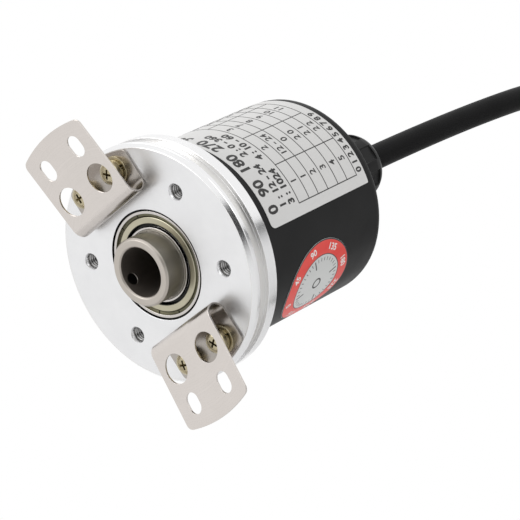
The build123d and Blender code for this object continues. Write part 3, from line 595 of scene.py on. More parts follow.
powder.links.new(grain, out["Height"])


def moulded(name, colour, rubbed, smooth, rough, grain=2200.0, depth=0.00001, **more):
    """A painted or moulded surface with a fine even grain and lightly rubbed edges."""
    made, tree, inputs = coat(name, colour, rough, **more)
    found = placed(
        tree, powder, Base=(*colour, 1), Rubbed=(*rubbed, 1), Smooth=smooth, Rough=rough, Grain=grain)
    feed(tree, inputs, found["Color"], found["Roughness"], found["Height"], depth)
    return made


black_moulding = moulded(
    "black_moulding", (0.012, 0.012, 0.012), (0.03, 0.03, 0.03), 0.4, 0.6, 1500.0, 0.000008)
wear("led_holder", black_moulding)
lamp_resin = clear_glass("lamp_resin", (0.75, 0.5, 0.55), 1.5)
wear("led_lamp", lamp_resin)
lens_glass = clear_glass("lens_glass", (0.95, 0.97, 0.98), 1.5)
wear("collimator_lens", lens_glass)
wear("reticle", lens_glass)

# Boards: green glass-fibre laminate with copper tracks under the resist, held 8 mm apart by brass pillars and
# spacers. The first carries the sensor, the second the output chips and the cable's connector.
sensor_board_rear, output_board_front, output_board_rear = 34.4, 42.4, 44.0
resist, given, out = effect(
    "resist", {"Resist": (0.01, 0.12, 0.05, 1), "Copper": (0.014, 0.15, 0.065, 1)},
    ["Color", "Roughness", "Height"])
spot = step(resist, "TexCoord", "Object")
upright = step(
    resist, "VectorRotate", "Vector", [("Vector", spot), ("Axis", (1.0, 0.0, 0.0)), ("Angle", math.pi / 2)])
tracks = step(resist, "TexBrick", "Fac", [
    ("Vector", upright), ("Scale", 260.0), ("Mortar Size", 0.08), ("Brick Width", 1.7), ("Row Height", 0.32)])
weave = step(resist, "TexNoise", "Fac", [("Vector", spot), ("Scale", 1800.0), ("Detail", 2.0)])
resist.links.new(blended(resist, tracks, given["Resist"], given["Copper"]), out["Color"])
resist.links.new(ranged(resist, weave, to_low=0.25, to_high=0.45), out["Roughness"])
resist.links.new(tracks, out["Height"])
board_laminate, tree, inputs = coat("board_laminate", (0.01, 0.12, 0.05), 0.35)
found = placed(tree, resist)
feed(tree, inputs, found["Color"], found["Roughness"], found["Height"], 0.00002)
pillar_brass = turned("pillar_brass", (0.75, 0.58, 0.27), (0.58, 0.42, 0.18), 0.22, 0.4, 7000.0, 0.000004)
for node, finish in (
        ("sensor_board", board_laminate), ("output_board", board_laminate),
        ("board_pillars", pillar_brass), ("board_spacers", pillar_brass)):
    wear(node, finish)

# Chips: the sensor faces the disc, and two output drivers sit on the second board. They are moulded in black
# resin, and the drivers' bent legs are soldered to the board. The boards' other pads are tinned as well.
tinned_pads = turned("tinned_pads", (0.68, 0.67, 0.64), (0.5, 0.49, 0.47), 0.25, 0.42, 20000.0, 0.000003)
chip_moulding = moulded(
    "chip_moulding", (0.016, 0.016, 0.017), (0.03, 0.03, 0.03), 0.5, 0.65, 2600.0, 0.000006)
chip_x, chip_places, chip_width, chip_height, chip_rear, chip_legs = -13.0, (9.0, -6.0), 5.3, 10.0, 45.8, 8
link_pitch, link_pins_count = 2.0, 7


def bar(form, low, high, skew=0.0):
    """Adds a block between two corners in millimetres; its rear end's sides are drawn in by the skew."""
    made = bmesh.ops.create_cube(form, size=1.0)["verts"]
    for vert in made:
        share = [vert.co[i] + 0.5 for i in range(3)]
        vert.co = [(low[i] + (high[i] - low[i]) * share[i]) * MM for i in range(3)]
        if share[1] > 0.5:
            vert.co.x += skew * MM * (1 if share[0] < 0.5 else -1)
            vert.co.z += skew * MM * (1 if share[2] < 0.5 else -1)
    return made


def soften(form, width):
    """Bevels all the edges of a form by that many millimetres."""
    bmesh.ops.bevel(form, geom=form.edges[:], offset=width * MM, segments=2, affect="EDGES")


def chip(plastic, metal, z):
    """Adds an output driver at that height on its board, with bent legs down each of its long sides."""
    foot, knee = output_board_rear, (output_board_rear + chip_rear) / 2
    bar(plastic, (chip_x - chip_width / 2, foot + 0.1, z - chip_height / 2),
        (chip_x + chip_width / 2, chip_rear, z + chip_height / 2), 0.18)
    for k in range(chip_legs):
        at = z + (k - (chip_legs - 1) / 2) * (chip_height / chip_legs)
        for side in (-1, 1):
            edge = chip_x + side * chip_width / 2
            for reach_in, reach_out, front, rear, half in (
                    (-0.1, 0.35, knee, knee + 0.15, 0.2), (0.2, 0.34, foot + 0.08, knee + 0.14, 0.19),
                    (0.2, 0.85, foot + 0.02, foot + 0.17, 0.2)):
                left, right = sorted((edge + side * reach_in, edge + side * reach_out))
                bar(metal, (left, front, at - half), (right, rear, at + half))


sensor_form, driver_form, pads = bmesh.new(), bmesh.new(), bmesh.new()
bar(sensor_form, (-6.0, 30.8, 13.2), (6.0, 32.8, 21.2))
soften(sensor_form, 0.15)
piece("photo_sensor_moulded", sensor_form, chip_moulding, "housing", "chip_moulding", "photo_sensor")
for z in chip_places:
    chip(driver_form, pads, z)
soften(driver_form, 0.12)
piece("output_drivers_moulded", driver_form, chip_moulding, "housing", "chip_moulding", "output_drivers")
for k in range(link_pins_count):
    for x in (-14.9, -13.1):
        z = -6.0 + link_pitch * k
        bar(pads, (x - 0.3, sensor_board_rear + 0.02, z - 0.3), (x + 0.3, sensor_board_rear + 0.22, z + 0.3))
for pillar_angle in pillar_angles:
    for y in (sensor_board_rear, output_board_rear):
        lathe(pads, [(1.85, y), (2.05, y), (2.05, y + 0.03), (1.85, y + 0.03)],
              around(pillar_circle_r, pillar_angle), parts=40, ease=0.0)
for k in range(9):
    x, z = around(14.0, 200 + 12 * k)
    bar(pads, (x - 0.8, output_board_rear, z - 0.35), (x + 0.8, output_board_rear + 0.5, z + 0.35), 0.05)
piece("board_pads_tinned", pads, tinned_pads, "housing", "plated_screw")

# Board screws: three M2 screws of plated steel with a cross recess.
# They go through both boards and the spacers into the pillars.
plated_steel = turned("plated_steel", (0.62, 0.6, 0.56), (0.45, 0.43, 0.4), 0.22, 0.4, 5000.0, 0.000004)
board_screw_form = bmesh.new()
for pillar_angle in pillar_angles:
    x, z = around(pillar_circle_r, pillar_angle)
    head = lathe(bmesh.new(), [
        (0.0, 27.8), (0.8, 27.8), (1.0, 28.0), (1.0, output_board_rear), (1.8, output_board_rear),
        (1.8, 44.8), (1.5, 45.2), (0.9, 45.38), (0.0, 45.4)], (x, z), parts=40, ease=0.05)
    recess = bmesh.new()
    for arm in range(2):
        half = 0.2 + 0.003 * arm
        blade = bar(recess, (-half, -0.6, -1.0), (half, 0.6, 1.0))
        turn(recess, 90 * arm + pillar_angle, blade)
        shift(recess, (x, 45.3, z), blade)
    join(board_screw_form, cut(head, recess, crossing=True))
piece("board_screws_recessed", board_screw_form, plated_steel, "housing", "plated_screw", "board_screws")

# Board link: a plug and a socket moulded in black, soldered to the boards' facing sides.
# Its gilt pins carry the sensor's signals from the first board to the second.
link_form, link_pins = bmesh.new(), bmesh.new()
bar(link_form, (-15.5, sensor_board_rear, -7.5), (-12.5, 36.9, 7.5))
bar(link_form, (-15.5, 39.9, -7.5), (-12.5, output_board_front, 7.5))
soften(link_form, 0.15)
for k in range(link_pins_count):
    for x in (-14.75, -13.25):
        z = -6.0 + link_pitch * k
        bar(link_pins, (x - 0.25, 36.8, z - 0.25), (x + 0.25, 40.0, z + 0.25))
piece("board_link_moulded", link_form, black_moulding, "housing", "black_moulding", "board_link")
piece("board_link_pins", link_pins, pillar_brass, "housing", "pillar_brass")

# Filter capacitors: two drawn aluminium cans with a rolled groove, which smooth the supply.
# Each stands on a moulded base on the second board.
capacitor_can = turned("capacitor_can", (0.7, 0.7, 0.71), (0.55, 0.55, 0.56), 0.2, 0.35, 6000.0, 0.000003)
capacitor_base = moulded("capacitor_base", (0.015, 0.015, 0.015), (0.03, 0.03, 0.03), 0.5, 0.6)
cans, bases = bmesh.new(), bmesh.new()
for place in ((1.0, 14.0), (7.0, 13.0)):
    lathe(cans, [
        (0.0, 44.8), (2.1, 44.8), (2.2, 45.2), (2.05, 45.5), (2.2, 45.8), (2.2, 48.9), (1.95, 49.2),
        (0.0, 49.2)], place, parts=48, ease=0.1)
    lathe(bases, [(0.0, output_board_rear), (2.2, output_board_rear), (2.2, 44.8), (0.0, 44.8)],
          place, parts=40, ease=0.1)
piece("filter_capacitor_cans", cans, capacitor_can, "housing", "capacitor_can", "filter_capacitors")
piece("filter_capacitor_bases", bases, capacitor_base, "housing", "black_moulding")

# Cable connector: a cream header on the second board and the plug on it, in line with the gland.
# Five insulated leads leave the plug towards the cable.
gland_place = (12.412, -1.48)
lead_colours = (
    (0.42, 0.2, 0.07), (0.62, 0.61, 0.58), (0.05, 0.2, 0.5), (0.012, 0.012, 0.012), (0.55, 0.03, 0.02))
connector_moulding = moulded(
    "connector_moulding", (0.62, 0.58, 0.5), (0.7, 0.66, 0.58), 0.4, 0.55, 1800.0, 0.000006)


def insulation(name, number, colour):
    """The coloured insulation of one lead."""
    return moulded("%s_%d" % (name, number), colour, colour, 0.35, 0.5, 2500.0, 0.000003)


for name, half_x, half_z, front, rear, skew, edge, node in (
        ("cable_header_moulded", 2.5, 4.5, output_board_rear, 47.2, 0.0, 0.2, "cable_header"),
        ("cable_plug_moulded", 2.3, 4.3, 47.2, 50.8, 0.2, 0.25, "cable_plug")):
    x, z = gland_place
    form = bmesh.new()
    bar(form, (x - half_x, front, z - half_z), (x + half_x, rear, z + half_z), skew)
    soften(form, edge)
    piece(name, form, connector_moulding, "housing", "connector_moulding", node)
for lead_number, lead_colour in enumerate(lead_colours):
    lead = bmesh.new()
    lathe(lead, [(0.0, 50.7), (0.5, 50.7), (0.5, 54.1), (0.0, 54.1)],
          (gland_place[0], -3.98 + 1.25 * lead_number), parts=24, ease=0.08)
    nodes = [] if lead_number else ["inner_leads"]
    piece("inner_lead_%d" % lead_number, lead, insulation("inner_insulation", lead_number, lead_colour),
          "housing", "lead_insulation", *nodes)

# Can: deep-drawn aluminium with a rounded rear shoulder, pushed over the spigot up to the rim.
# It is painted satin black, with the faint orange peel of powder coat and a little rub on its edges.
can_r, can_bore_r, can_front, can_end, can_floor = 25.0, 23.5, 13.78, 60.65, 58.65
gland_hole_r = 5.9
black_coat = moulded(
    "black_coat", (0.0075, 0.0075, 0.0078), (0.026, 0.026, 0.027), 0.42, 0.55, Specular_IOR_Level=0.2)
can_form = lathe(bmesh.new(), [
    (can_r, can_front), (can_r, 58.65), (24.85, 59.42), (24.41, 60.06), (23.77, 60.5), (23.0, can_end),
    (0.0, can_end), (0.0, can_floor), (22.3, can_floor), (23.15, 58.3), (can_bore_r, 57.45),
    (can_bore_r, can_front)], ease=0.15)
can_tools = lathe(bmesh.new(), [
    (0.0, 57.0), (gland_hole_r, 57.0), (gland_hole_r, 62.0), (0.0, 62.0)], gland_place, parts=48, ease=0.0)
piece("can_drawn", cut(can_form, can_tools), black_coat, "housing", "black_coat", "housing_can")

# Can seal: a black rubber ring in the spigot's groove.
# The can squeezes it as it is pushed on, which keeps dust and splashes out.
seal_rubber = moulded("seal_rubber", (0.016, 0.016, 0.016), (0.02, 0.02, 0.02), 0.7, 0.85, 1500.0)
seal_form = lathe(bmesh.new(), [
    (seal_r, seal_front), (can_bore_r, seal_front), (can_bore_r, seal_rear), (seal_r, seal_rear)], ease=0.55)
piece("can_seal_ring", seal_form, seal_rubber, "housing", "seal_rubber", "can_seal")

# Cable gland: moulded black nylon, screwed through the rear wall with a lock nut inside.
# The dome nut has eight flats for grip and presses a rubber seal onto the cable.
gland_bore_r, collar_y, nut_r, nut_end, thread_end, nut_flats = 3.5, 62.25, 8.45, 72.15, 68.45, 8
gland_moulding = moulded(
    "gland_moulding", (0.006, 0.006, 0.0062), (0.014, 0.014, 0.0145), 0.34, 0.46, 1200.0, 0.000006,
    Specular_IOR_Level=0.2)
body_form = lathe(bmesh.new(), [
    (gland_bore_r, 56.15), (gland_hole_r, 56.15), (gland_hole_r, can_end), (7.6, can_end), (7.6, collar_y),
    (gland_hole_r, collar_y), (gland_hole_r, thread_end), (4.9, thread_end), (4.9, collar_y),
    (gland_bore_r, collar_y)], gland_place, parts=64, ease=0.2)
piece("gland_body_moulded", body_form, gland_moulding, "housing", "gland_moulding", "gland_body")
nut_form = lathe(bmesh.new(), [
    (gland_hole_r, collar_y), (nut_r, collar_y), (nut_r, 68.1), (8.25, 69.35), (7.65, 70.5), (6.7, 71.4),
    (5.5, 71.95), (4.15, nut_end), (gland_bore_r, nut_end), (gland_bore_r, thread_end),
    (gland_hole_r, thread_end)], gland_place, parts=96, ease=0.25)
nut_tools = bmesh.new()
for grip in range(nut_flats):
    flat = block(nut_tools, (3.0, 5.6, 3.9), (9.4, 65.85, 0.0))
    turn(nut_tools, 360 / nut_flats * grip, flat)
    shift(nut_tools, (gland_place[0], 0.0, gland_place[1]), flat)
nut = piece(
    "gland_nut_moulded", cut(nut_form, nut_tools), gland_moulding, "housing", "gland_moulding", "gland_nut")
soft_edges = nut.modifiers.new("soft_edges", "BEVEL")
soft_edges.width = 0.00018
soft_edges.segments = 2
soft_edges.angle_limit = math.radians(35)
nut.modifiers.move(1, 0)
wear("gland_locknut", gland_moulding)
wear("gland_seal", seal_rubber)

# Cable: 2 m of black PVC sheath round eight conductors. It leaves the gland straight, then hangs to a coil of
# seven turns that a strap tie holds, and its short tail hangs out of the coil. Its route is in metres.
cable_d, coil_r, coil_y, coil_z, tail_y = 0.0064, 38.0, 0.16665, -0.10598, 0.20785
tail_end = (0.006412, tail_y, -0.17798)
gland_x, gland_z = gland_place[0] * MM, gland_place[1] * MM
coil_lays = [(6.4, 0.0), (3.2, 5.54), (-3.2, 5.54), (0.0, 0.0), (-6.4, 0.0), (-3.2, -5.54), (3.2, -5.54)]
stops = 16
cable_sheath = moulded(
    "cable_sheath", (0.0035, 0.0035, 0.0037), (0.007, 0.007, 0.0073), 0.46, 0.56, 700.0, 0.000012,
    Specular_IOR_Level=0.08)
cable_points = [
    (gland_x, 0.05405, gland_z), (gland_x, 0.10605, gland_z), (gland_x, 0.17405, -0.00678),
    (gland_x, 0.21305, -0.04598), (gland_x, 0.21105, coil_z)]
for turn_number, lay in enumerate(coil_lays):
    coming = coil_lays[min(turn_number + 1, len(coil_lays) - 1)]
    for stop in range(stops):
        if turn_number == 0 and stop == 0:
            continue
        moved = min(1.0, max(0.0, (stop - 14 + 2 * turn_number) / 2))
        out_by = lay[0] + (coming[0] - lay[0]) * moved
        across_by = lay[1] + (coming[1] - lay[1]) * moved
        turn_y, turn_z = around((coil_r + out_by) / math.cos(math.pi / stops), 360 / stops * stop)
        cable_points.append((gland_x + across_by * MM, coil_y + turn_y * MM, coil_z - turn_z * MM))
cable_points += [(0.00687, tail_y, coil_z), (0.0066, tail_y, -0.1320), tail_end]


def tube(name, kind, points, radius, roundness, finish):
    """Makes a round piece along a curve through or near these points in metres, with closed ends."""
    drawn = bpy.data.curves.new(name, "CURVE")
    drawn.dimensions = "3D"
    drawn.resolution_u = 14
    drawn.bevel_depth = radius
    drawn.bevel_resolution = roundness
    drawn.use_fill_caps = True
    line = drawn.splines.new(kind)
    line.points.add(len(points) - 1)
    for point, spot in zip(line.points, points):
        point.co = (*spot, 1.0)
    if kind == "NURBS":
        line.order_u = 3
        line.use_endpoint_u = True
    drawn.materials.append(finish)
    made = bpy.data.objects.new(name, drawn)
    bpy.context.scene.collection.objects.link(made)
    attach(made, "housing")
    return made


cable = tube("cable_sheathed", "NURBS", cable_points, cable_d / 2, 6, cable_sheath)
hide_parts("cable", "cable_coil", "cable_tail")

# Tail: the cable's eight conductors spread out of its cut end, each stripped and tinned at its own end.
# A strap tie of black nylon holds the coil's turns together at its top.
wire_colours = (*lead_colours, (0.06, 0.3, 0.08), (0.75, 0.6, 0.05), (0.3, 0.3, 0.3))
spread_near, spread_far, tail_length = 2.2, 7.2, 0.04
tinned_copper = turned("tinned_copper", (0.62, 0.6, 0.56), (0.45, 0.43, 0.4), 0.25, 0.4, 20000.0, 0.000003)
for wire_number, wire_colour in enumerate(wire_colours):
    near = Vector(around(spread_near, 45 * wire_number))
    far = Vector(around(spread_far, 45 * wire_number))
    for name, share_from, share_to, thick, finish in (
            ("tail_lead", -0.02, 0.85, 0.0005, insulation("lead_insulation", wire_number, wire_colour)),
            ("tail_strand", 0.8, 0.995, 0.00032, tinned_copper)):
        points = []
        for k in range(8):
            share = share_from + (share_to - share_from) * k / 7
            spot = near.lerp(far, max(0.0, share))
            points.append((
                tail_end[0] + spot.x * MM, tail_end[1] + spot.y * MM, tail_end[2] - tail_length * share))
        wire_name = "%s_%d" % (name, wire_number)
        tube(wire_name, "POLY", points, thick, 3, finish)
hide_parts("tail_leads")

tie_nylon = moulded("tie_nylon", (0.02, 0.02, 0.02), (0.03, 0.03, 0.03), 0.35, 0.5, 1500.0, 0.000006)
wear("coil_tie", tie_nylon)

# Stator brackets: strips of sprung stainless steel 0.5 mm thick, folded over and pierced. They hold the
# encoder against the machine's frame. The round holes give access to their screws, and the slots take the
# fixing screws.
sheet_thickness, half_width, fold_r, fold_degrees = 0.5, 11.5, 2.6, 173.0
fold_y, fold_z, hole_x = 2.85, 17.85, 6.0
fold_length = math.radians(fold_degrees) * fold_r
bracket_steel = turned(
    "bracket_steel", (0.70, 0.655, 0.62), (0.60, 0.56, 0.53), 0.17, 0.30, 2500.0, 0.0000012)
tree = bracket_steel.node_tree
inputs = tree.nodes["Principled BSDF"].inputs
# The leg that lies back against the flange, behind the front leg, is painted darker across the fold: painted
# shade.
leg_y = step(tree, "SeparateXYZ", "Y", [(0, step(tree, "TexCoord", "Object"))])
outer_colour = inputs["Base Color"].links[0].from_socket
shaded_leg_colour = blended(tree, ranged(tree, leg_y, 0.001, 0.0035), outer_colour, (0.42, 0.39, 0.36, 1))
tree.links.new(shaded_leg_colour, inputs["Base Color"])


def leg_end(end_r, middle, corner_r):
    """Points (x, s) of a leg's end: an arc about the shaft's axis at s = middle, with rounded corners."""
    drop = math.sqrt((end_r - corner_r) ** 2 - (half_width - corner_r) ** 2)
    lean = math.degrees(math.atan2(drop, half_width - corner_r))
    half = []
    for k in range(7):
        x, s = around(corner_r, lean * k / 6)
        half.append((half_width - corner_r + x, middle + drop + s))
    for k in range(1, 9):
        x, s = around(end_r, lean + (90 - lean) * k / 8)
        half.append((x, middle + s))
    return half + [(-x, s) for x, s in reversed(half[:-1])]


def ring_points(middle, across_r, along_r, count=40):
    """Points of a round hole, or of a slot that is longer along the leg, run the other way."""
    points = []
    for k in range(count):
        a = -2 * math.pi * k / count
        shift_by = math.copysign(along_r - across_r, math.sin(a))
        points.append((middle[0] + across_r * math.cos(a), middle[1] + across_r * math.sin(a) + shift_by))
    return points


def creases(form, places, along):
    """Divides a flat form by lines across it, so that it can bend there."""
    for place in places:
        at, normal = [0.0] * 3, [0.0] * 3
        at[along], normal[along] = place, 1.0
        bmesh.ops.bisect_plane(form, geom=form.verts[:] + form.edges[:] + form.faces[:], dist=1e-5,
                               plane_co=at, plane_no=normal)


def flattened(drawn):
    """The mesh of a flat curve or text, which is then deleted."""
    held = bpy.data.objects.new("drawn", drawn)
    bpy.context.scene.collection.objects.link(held)
    bpy.context.view_layer.update()
    flat = bpy.data.meshes.new_from_object(held.evaluated_get(bpy.context.evaluated_depsgraph_get()))
    bpy.data.objects.remove(held)
    return flat


def punched(loops, thickness, ease):
    """A flat sheet, in millimetres, cut to the first loop and pierced by the others, with eased edges."""
    drawn = bpy.data.curves.new("punched", "CURVE")
    drawn.dimensions = "2D"
    drawn.fill_mode = "BOTH"
    drawn.extrude = thickness / 2 - ease
    drawn.bevel_depth = ease
    drawn.bevel_resolution = 1
    drawn.offset = -ease
    for loop in loops:
        line = drawn.splines.new("POLY")
        line.points.add(len(loop) - 1)
        for point, (x, s) in zip(line.points, loop):
            point.co = (x, s, 0.0, 1.0)
        line.use_cyclic_u = True
    flat = flattened(drawn)
    form = bmesh.new()
    form.from_mesh(flat)
    bpy.data.meshes.remove(flat)
    bmesh.ops.remove_doubles(form, verts=form.verts, dist=1e-4)
    bmesh.ops.dissolve_limit(form, angle_limit=math.radians(0.5), verts=form.verts[:], edges=form.edges[:])
    return form


outer_end = [(x, -fold_length - s) for x, s in reversed(leg_end(38.3, -17.695, 1.8))]
strip_loops = [leg_end(27.9, -fold_z, 1.5) + outer_end]
for run, across_r, along_r, count in (
        (4.95, 1.6, 1.6, 40), (-fold_length - 5.276, 3.6, 3.6, 56), (-fold_length - 14.243, 1.95, 2.65, 40)):
    for x in (-hole_x, hole_x):
        strip_loops.append(ring_points((x, run), across_r, along_r, count))
for side, name in ((1, "upper_bracket"), (-1, "lower_bracket")):
    strip = punched(strip_loops, sheet_thickness, 0.06)
    creases(strip, [-fold_length * k / 24 for k in range(25)], 1)
    for vert in strip.verts:
        x, s, t = vert.co
        phi = max(-math.radians(fold_degrees), min(0.0, s / fold_r))
        run = s if s > 0 else min(0.0, s + fold_length)
        y = fold_y + (fold_r + t) * math.cos(phi) + (0.0 if s > 0 else run * math.sin(-phi))
        z = fold_z + (fold_r + t) * math.sin(phi) + (run if s > 0 else run * math.cos(phi))
        vert.co = (side * x * MM, y * MM, side * z * MM)
    piece(name + "_folded", strip, bracket_steel, "housing", "bracket_steel", name)

# Bracket screws: M3 with a cross recess, zinc plated and yellow passivated, each on a spring washer and a
# plain one. They are done up through the access holes before the encoder is mounted.
plated_screw = turned("plated_screw", (0.56, 0.50, 0.36), (0.38, 0.33, 0.20), 0.2, 0.38, 3000.0, 0.000004)
washer_front, washer_rear, split_degrees, washer_rise, washer_stops = 4.7, 5.2, 348, 0.14, 48
screw_end, screw_ridges = 11.2, 11
shank = [(0.0, screw_end), (1.0, screw_end), (1.3, 10.9)]
for ridge in range(screw_ridges):
    shank += [(1.5, 10.65 - 0.5 * ridge), (1.2, 10.4 - 0.5 * ridge)]
washer_section = (
    (1.6, 4.04), (2.0, 4.04), (2.7, 4.06), (2.8, 4.14), (2.8, 4.62), (2.7, washer_front), (2.0, washer_front),
    (1.6, washer_front))
screws, spring_washers, washers = bmesh.new(), bmesh.new(), bmesh.new()
screw_places = [
    (x, z) for z in (-bracket_screw_z, bracket_screw_z) for x in (-bracket_screw_x, bracket_screw_x)]
for screw_number, (x, z) in enumerate(screw_places):
    head = lathe(bmesh.new(), [
        (0.0, 1.8), (1.6, 1.86), (2.2, 2.06), (2.6, 2.42), (2.75, 2.9), (2.75, 3.9), (1.5, 3.9), (1.5, 5.1),
        *shank[:0:-1], (0.0, screw_end)], (x, z), parts=56, ease=0.06)
    recess = bmesh.new()
    for arm in range(2):
        blade = block(recess, (0.62 + 0.004 * arm, 2.4, 3.1))
        for vert in blade:
            if vert.co.y > 0:
                vert.co.z *= 0.45
                vert.co.x *= 0.7
        turn(recess, 90 * arm + 20 + 37 * screw_number, blade)
        shift(recess, (x, 2.0, z), blade)
    join(screws, cut(head, recess, crossing=True))
    lathe(washers, [(1.6, washer_front), (3.5, washer_front), (3.5, washer_rear), (1.6, washer_rear)],
          (x, z), parts=64, ease=0.1)
    loops = []
    for k in range(washer_stops + 1):
        share = k / washer_stops
        loop = []
        for r, y in washer_section:
            out_x, out_z = around(r, 6 + split_degrees * share)
            loop.append(spring_washers.verts.new(
                ((x + out_x) * MM, (y - washer_rise * share) * MM, (z + out_z) * MM)))
        loops.append(loop)
    for a, b in zip(loops, loops[1:]):
        for k in range(len(a)):
            spring_washers.faces.new((a[k - 1], a[k], b[k], b[k - 1]))
    spring_washers.faces.new(loops[0])
    spring_washers.faces.new(loops[-1])
for name, form, node in (
        ("bracket_screws_recessed", screws, "bracket_screws"),
        ("spring_washers_split", spring_washers, "bracket_spring_washers"),
        ("flat_washers_punched", washers, "bracket_flat_washers")):
    piece(name, form, plated_screw, "housing", "plated_screw", node)

# Foil label: satin silver foil stuck round the can, with a printed table.
# Its figures are plain numbers, and the rows and lines lie where such a label has them.
label_start, label_degrees, label_front, label_length = -18.9, 109.9, 19.8, 37.45
foil_thickness, print_thickness, line_half = 0.1, 0.02, 0.12
table_rows = [31.5, 35.35, 38.9, 42.7, 46.7, 50.3, 54.1]
table_columns = [-12.4, 11.8, 36.0, 60.2, 84.5]
label_foil = moulded("label_foil", (0.70, 0.695, 0.685), (0.74, 0.74, 0.73), 0.3, 0.42, 3000.0, 0.000002)
print_black = moulded("print_black", (0.018, 0.017, 0.016), (0.03, 0.03, 0.03), 0.45, 0.6, 3000.0, 0.000001)


def rectangle(u0, v0, u1, v1, front_corner=0.0, rear_corner=0.0):
    """Corner points of a rectangle of a flat print, with rounded corners if they are given a radius."""
    if not front_corner:
        return [(u0, v0), (u1, v0), (u1, v1), (u0, v1)]
    points = []
    for u, v, side_u, side_v, corner, start in (
            (u1, v1, -1, -1, front_corner, 0), (u0, v1, 1, -1, front_corner, 90),
            (u0, v0, 1, 1, rear_corner, 180), (u1, v0, -1, 1, rear_corner, 270)):
        for k in range(7):
            du, dv = around(corner, start + 15 * k)
            points.append((u + side_u * corner + du, v + side_v * corner + dv))
    return points


def plate(form, loops, thickness=print_thickness, ease=0.0):
    """Adds a flat sheet cut to these loops, lying on the print's plane."""
    sheet_form = punched(loops, thickness, ease)
    bmesh.ops.translate(sheet_form, vec=(0, 0, thickness / 2), verts=sheet_form.verts)
    join(form, sheet_form)


def lettering(form, figures, height, place, bold, turn_by=0.0, align="LEFT"):
    """Adds figures of that height in millimetres at a place (u, v) of a flat print."""
    text = bpy.data.curves.new("figures", "FONT")
    text.body = figures
    text.size = height / 0.69
    text.align_x = align
    text.align_y = "CENTER"
    text.extrude = 0.012
    text.offset = bold
    text.resolution_u = 3
    flat = flattened(text)
    flat.transform(Matrix.Translation((*place, 0.012)) @ Matrix.Rotation(math.radians(turn_by), 4, "Z"))
    form.from_mesh(flat)
    bpy.data.meshes.remove(flat)


def wrapped(form, lift, degrees, y):
    """Bends a flat print round the can: u runs round it from that angle, and v to the front from y."""
    bmesh.ops.remove_doubles(form, verts=form.verts, dist=1e-4)
    low, high = min(v.co.x for v in form.verts), max(v.co.x for v in form.verts)
    creases(form, range(math.ceil(low), math.ceil(high)), 0)
    radius = can_r + lift
    for vert in form.verts:
        u, v, t = vert.co
        x, z = around(radius + t, degrees + math.degrees(u / radius))
        vert.co = (x * MM, (y - v) * MM, z * MM)


def on_label(degrees, y):
    """The place (u, v) on the flat label of an angle round the can and a place along it."""
    return math.radians(degrees - label_start) * can_r, label_front - y


foil = bmesh.new()
label_run = math.radians(label_degrees) * can_r
plate(foil, [rectangle(0.0, -label_length, label_run, 0.0, 1.5, 0.4)], foil_thickness, 0.02)
wrapped(foil, 0.0, label_start, label_front)
piece("nameplate_foil", foil, label_foil, "housing", "label_foil", "nameplate")

ink = bmesh.new()
for row in table_rows:
    left, v = on_label(table_columns[0], row)
    right, _ = on_label(table_columns[-1], row)
    plate(ink, [rectangle(left - line_half, v - line_half, right + line_half, v + line_half)])
for column in table_columns:
    u, top = on_label(column, table_rows[0])
    _, foot = on_label(column, table_rows[-1])
    plate(ink, [rectangle(u - line_half, foot, u + line_half, top)], print_thickness + 0.001)
for figures, height, degrees, y, bold in (
        ("0  90  180  270  360", 3.0, -12.0, 22.7, 0.15),
        ("1 : 12 - 24    2 : 0 - 360", 2.0, -11.0, 26.4, 0.12),
        ("3 : 1024    4 : 10 - 60", 2.0, -11.0, 29.4, 0.12)):
    lettering(ink, figures, height, on_label(degrees, y), bold)
cells = (
    ("1", "2", "3", "4"), ("1", "12 - 24", "7", "2 4"), ("2", "0", "8", "2 5"),
    ("3", "2 0", "9", "2 6"), ("4", "2 1", "10", "2 7"), ("5", "2 2", "11", "2 8"))
for row, figures in enumerate(cells):
    for column, figure in enumerate(figures):
        middle_angle = (table_columns[column] + table_columns[column + 1]) / 2
        middle_y = (table_rows[row] + table_rows[row + 1]) / 2
        lettering(ink, figure, 1.9, on_label(middle_angle, middle_y), 0.05, align="CENTER")
lettering(ink, "0 1 2 3 4 5 6 7 8 9", 1.8, on_label(-11.5, 55.75), 0.09)
wrapped(ink, foil_thickness, label_start, label_front)
piece("nameplate_print", ink, print_black, "housing", "label_foil")

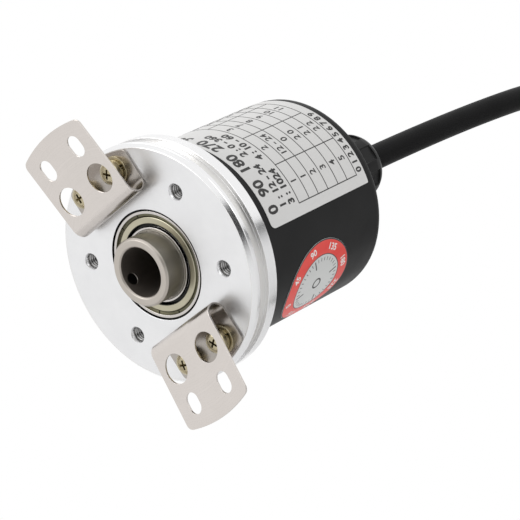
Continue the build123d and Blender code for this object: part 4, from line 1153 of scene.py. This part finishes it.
# Round sticker under the label: printed foil with a red ring and a pale middle.
# Its print is a plain degree dial.
sticker_degrees, sticker_y, sticker_r, ring_outer_r, ring_inner_r = -63.1, 36.1, 11.6, 11.3, 7.9
sticker_thickness, sticker_turn = 0.08, 20
sticker_foil = moulded("sticker_foil", (0.62, 0.63, 0.62), (0.66, 0.66, 0.66), 0.3, 0.42, 3000.0, 0.000002)
print_red = moulded("print_red", (0.76, 0.045, 0.035), (0.8, 0.1, 0.08), 0.34, 0.46, 3000.0, 0.000002)
print_white = moulded("print_white", (0.8, 0.78, 0.76), (0.82, 0.8, 0.78), 0.4, 0.5, 3000.0, 0.000001)
print_teal = moulded("print_teal", (0.012, 0.03, 0.034), (0.02, 0.04, 0.045), 0.4, 0.5, 3000.0, 0.000001)


def round_loops(*sizes):
    """Loops of a flat disc, or of a ring, each from a radius and its count of points."""
    return [ring_points((0, 0), r, r, count) for r, count in sizes]


base, red, white, dark, edge = (bmesh.new() for _ in range(5))
plate(base, round_loops((sticker_r, 96)), sticker_thickness, 0.02)
plate(red, round_loops((ring_outer_r, 96), (ring_inner_r, 72)))
plate(edge, round_loops((sticker_r - 0.02, 96), (ring_outer_r, 96)))
plate(edge, round_loops((ring_inner_r, 72), (7.7, 72)))
for degrees in range(0, 360, 45):
    lettering(white, str(degrees), 1.6, around(9.6, 90 - degrees), 0.05, turn_by=-degrees, align="CENTER")
for degrees in range(0, 360, 10):
    near, far, half = (4.6, 7.1, 0.16) if degrees % 90 == 0 else (6.2, 7.1, 0.08)
    cos, sin = around(1.0, degrees)
    tick = rectangle(near, -half, far, half)
    plate(dark, [[(r * cos - w * sin, r * sin + w * cos) for r, w in tick]])
plate(dark, round_loops((1.5, 40), (1.1, 40)))
for name, form, lift, finish, nodes in (
        ("round_sticker_foil", base, 0.0, sticker_foil, ["round_sticker"]),
        ("round_sticker_ring", red, sticker_thickness, print_red, []),
        ("round_sticker_edges", edge, sticker_thickness, print_teal, []),
        ("round_sticker_ticks", dark, sticker_thickness, print_black, []),
        ("round_sticker_figures", white, sticker_thickness + print_thickness, print_white, [])):
    turn(form, sticker_turn, form.verts, "Z")
    wrapped(form, lift, sticker_degrees, sticker_y)
    piece(name, form, finish, "housing", "sticker_foil", *nodes)
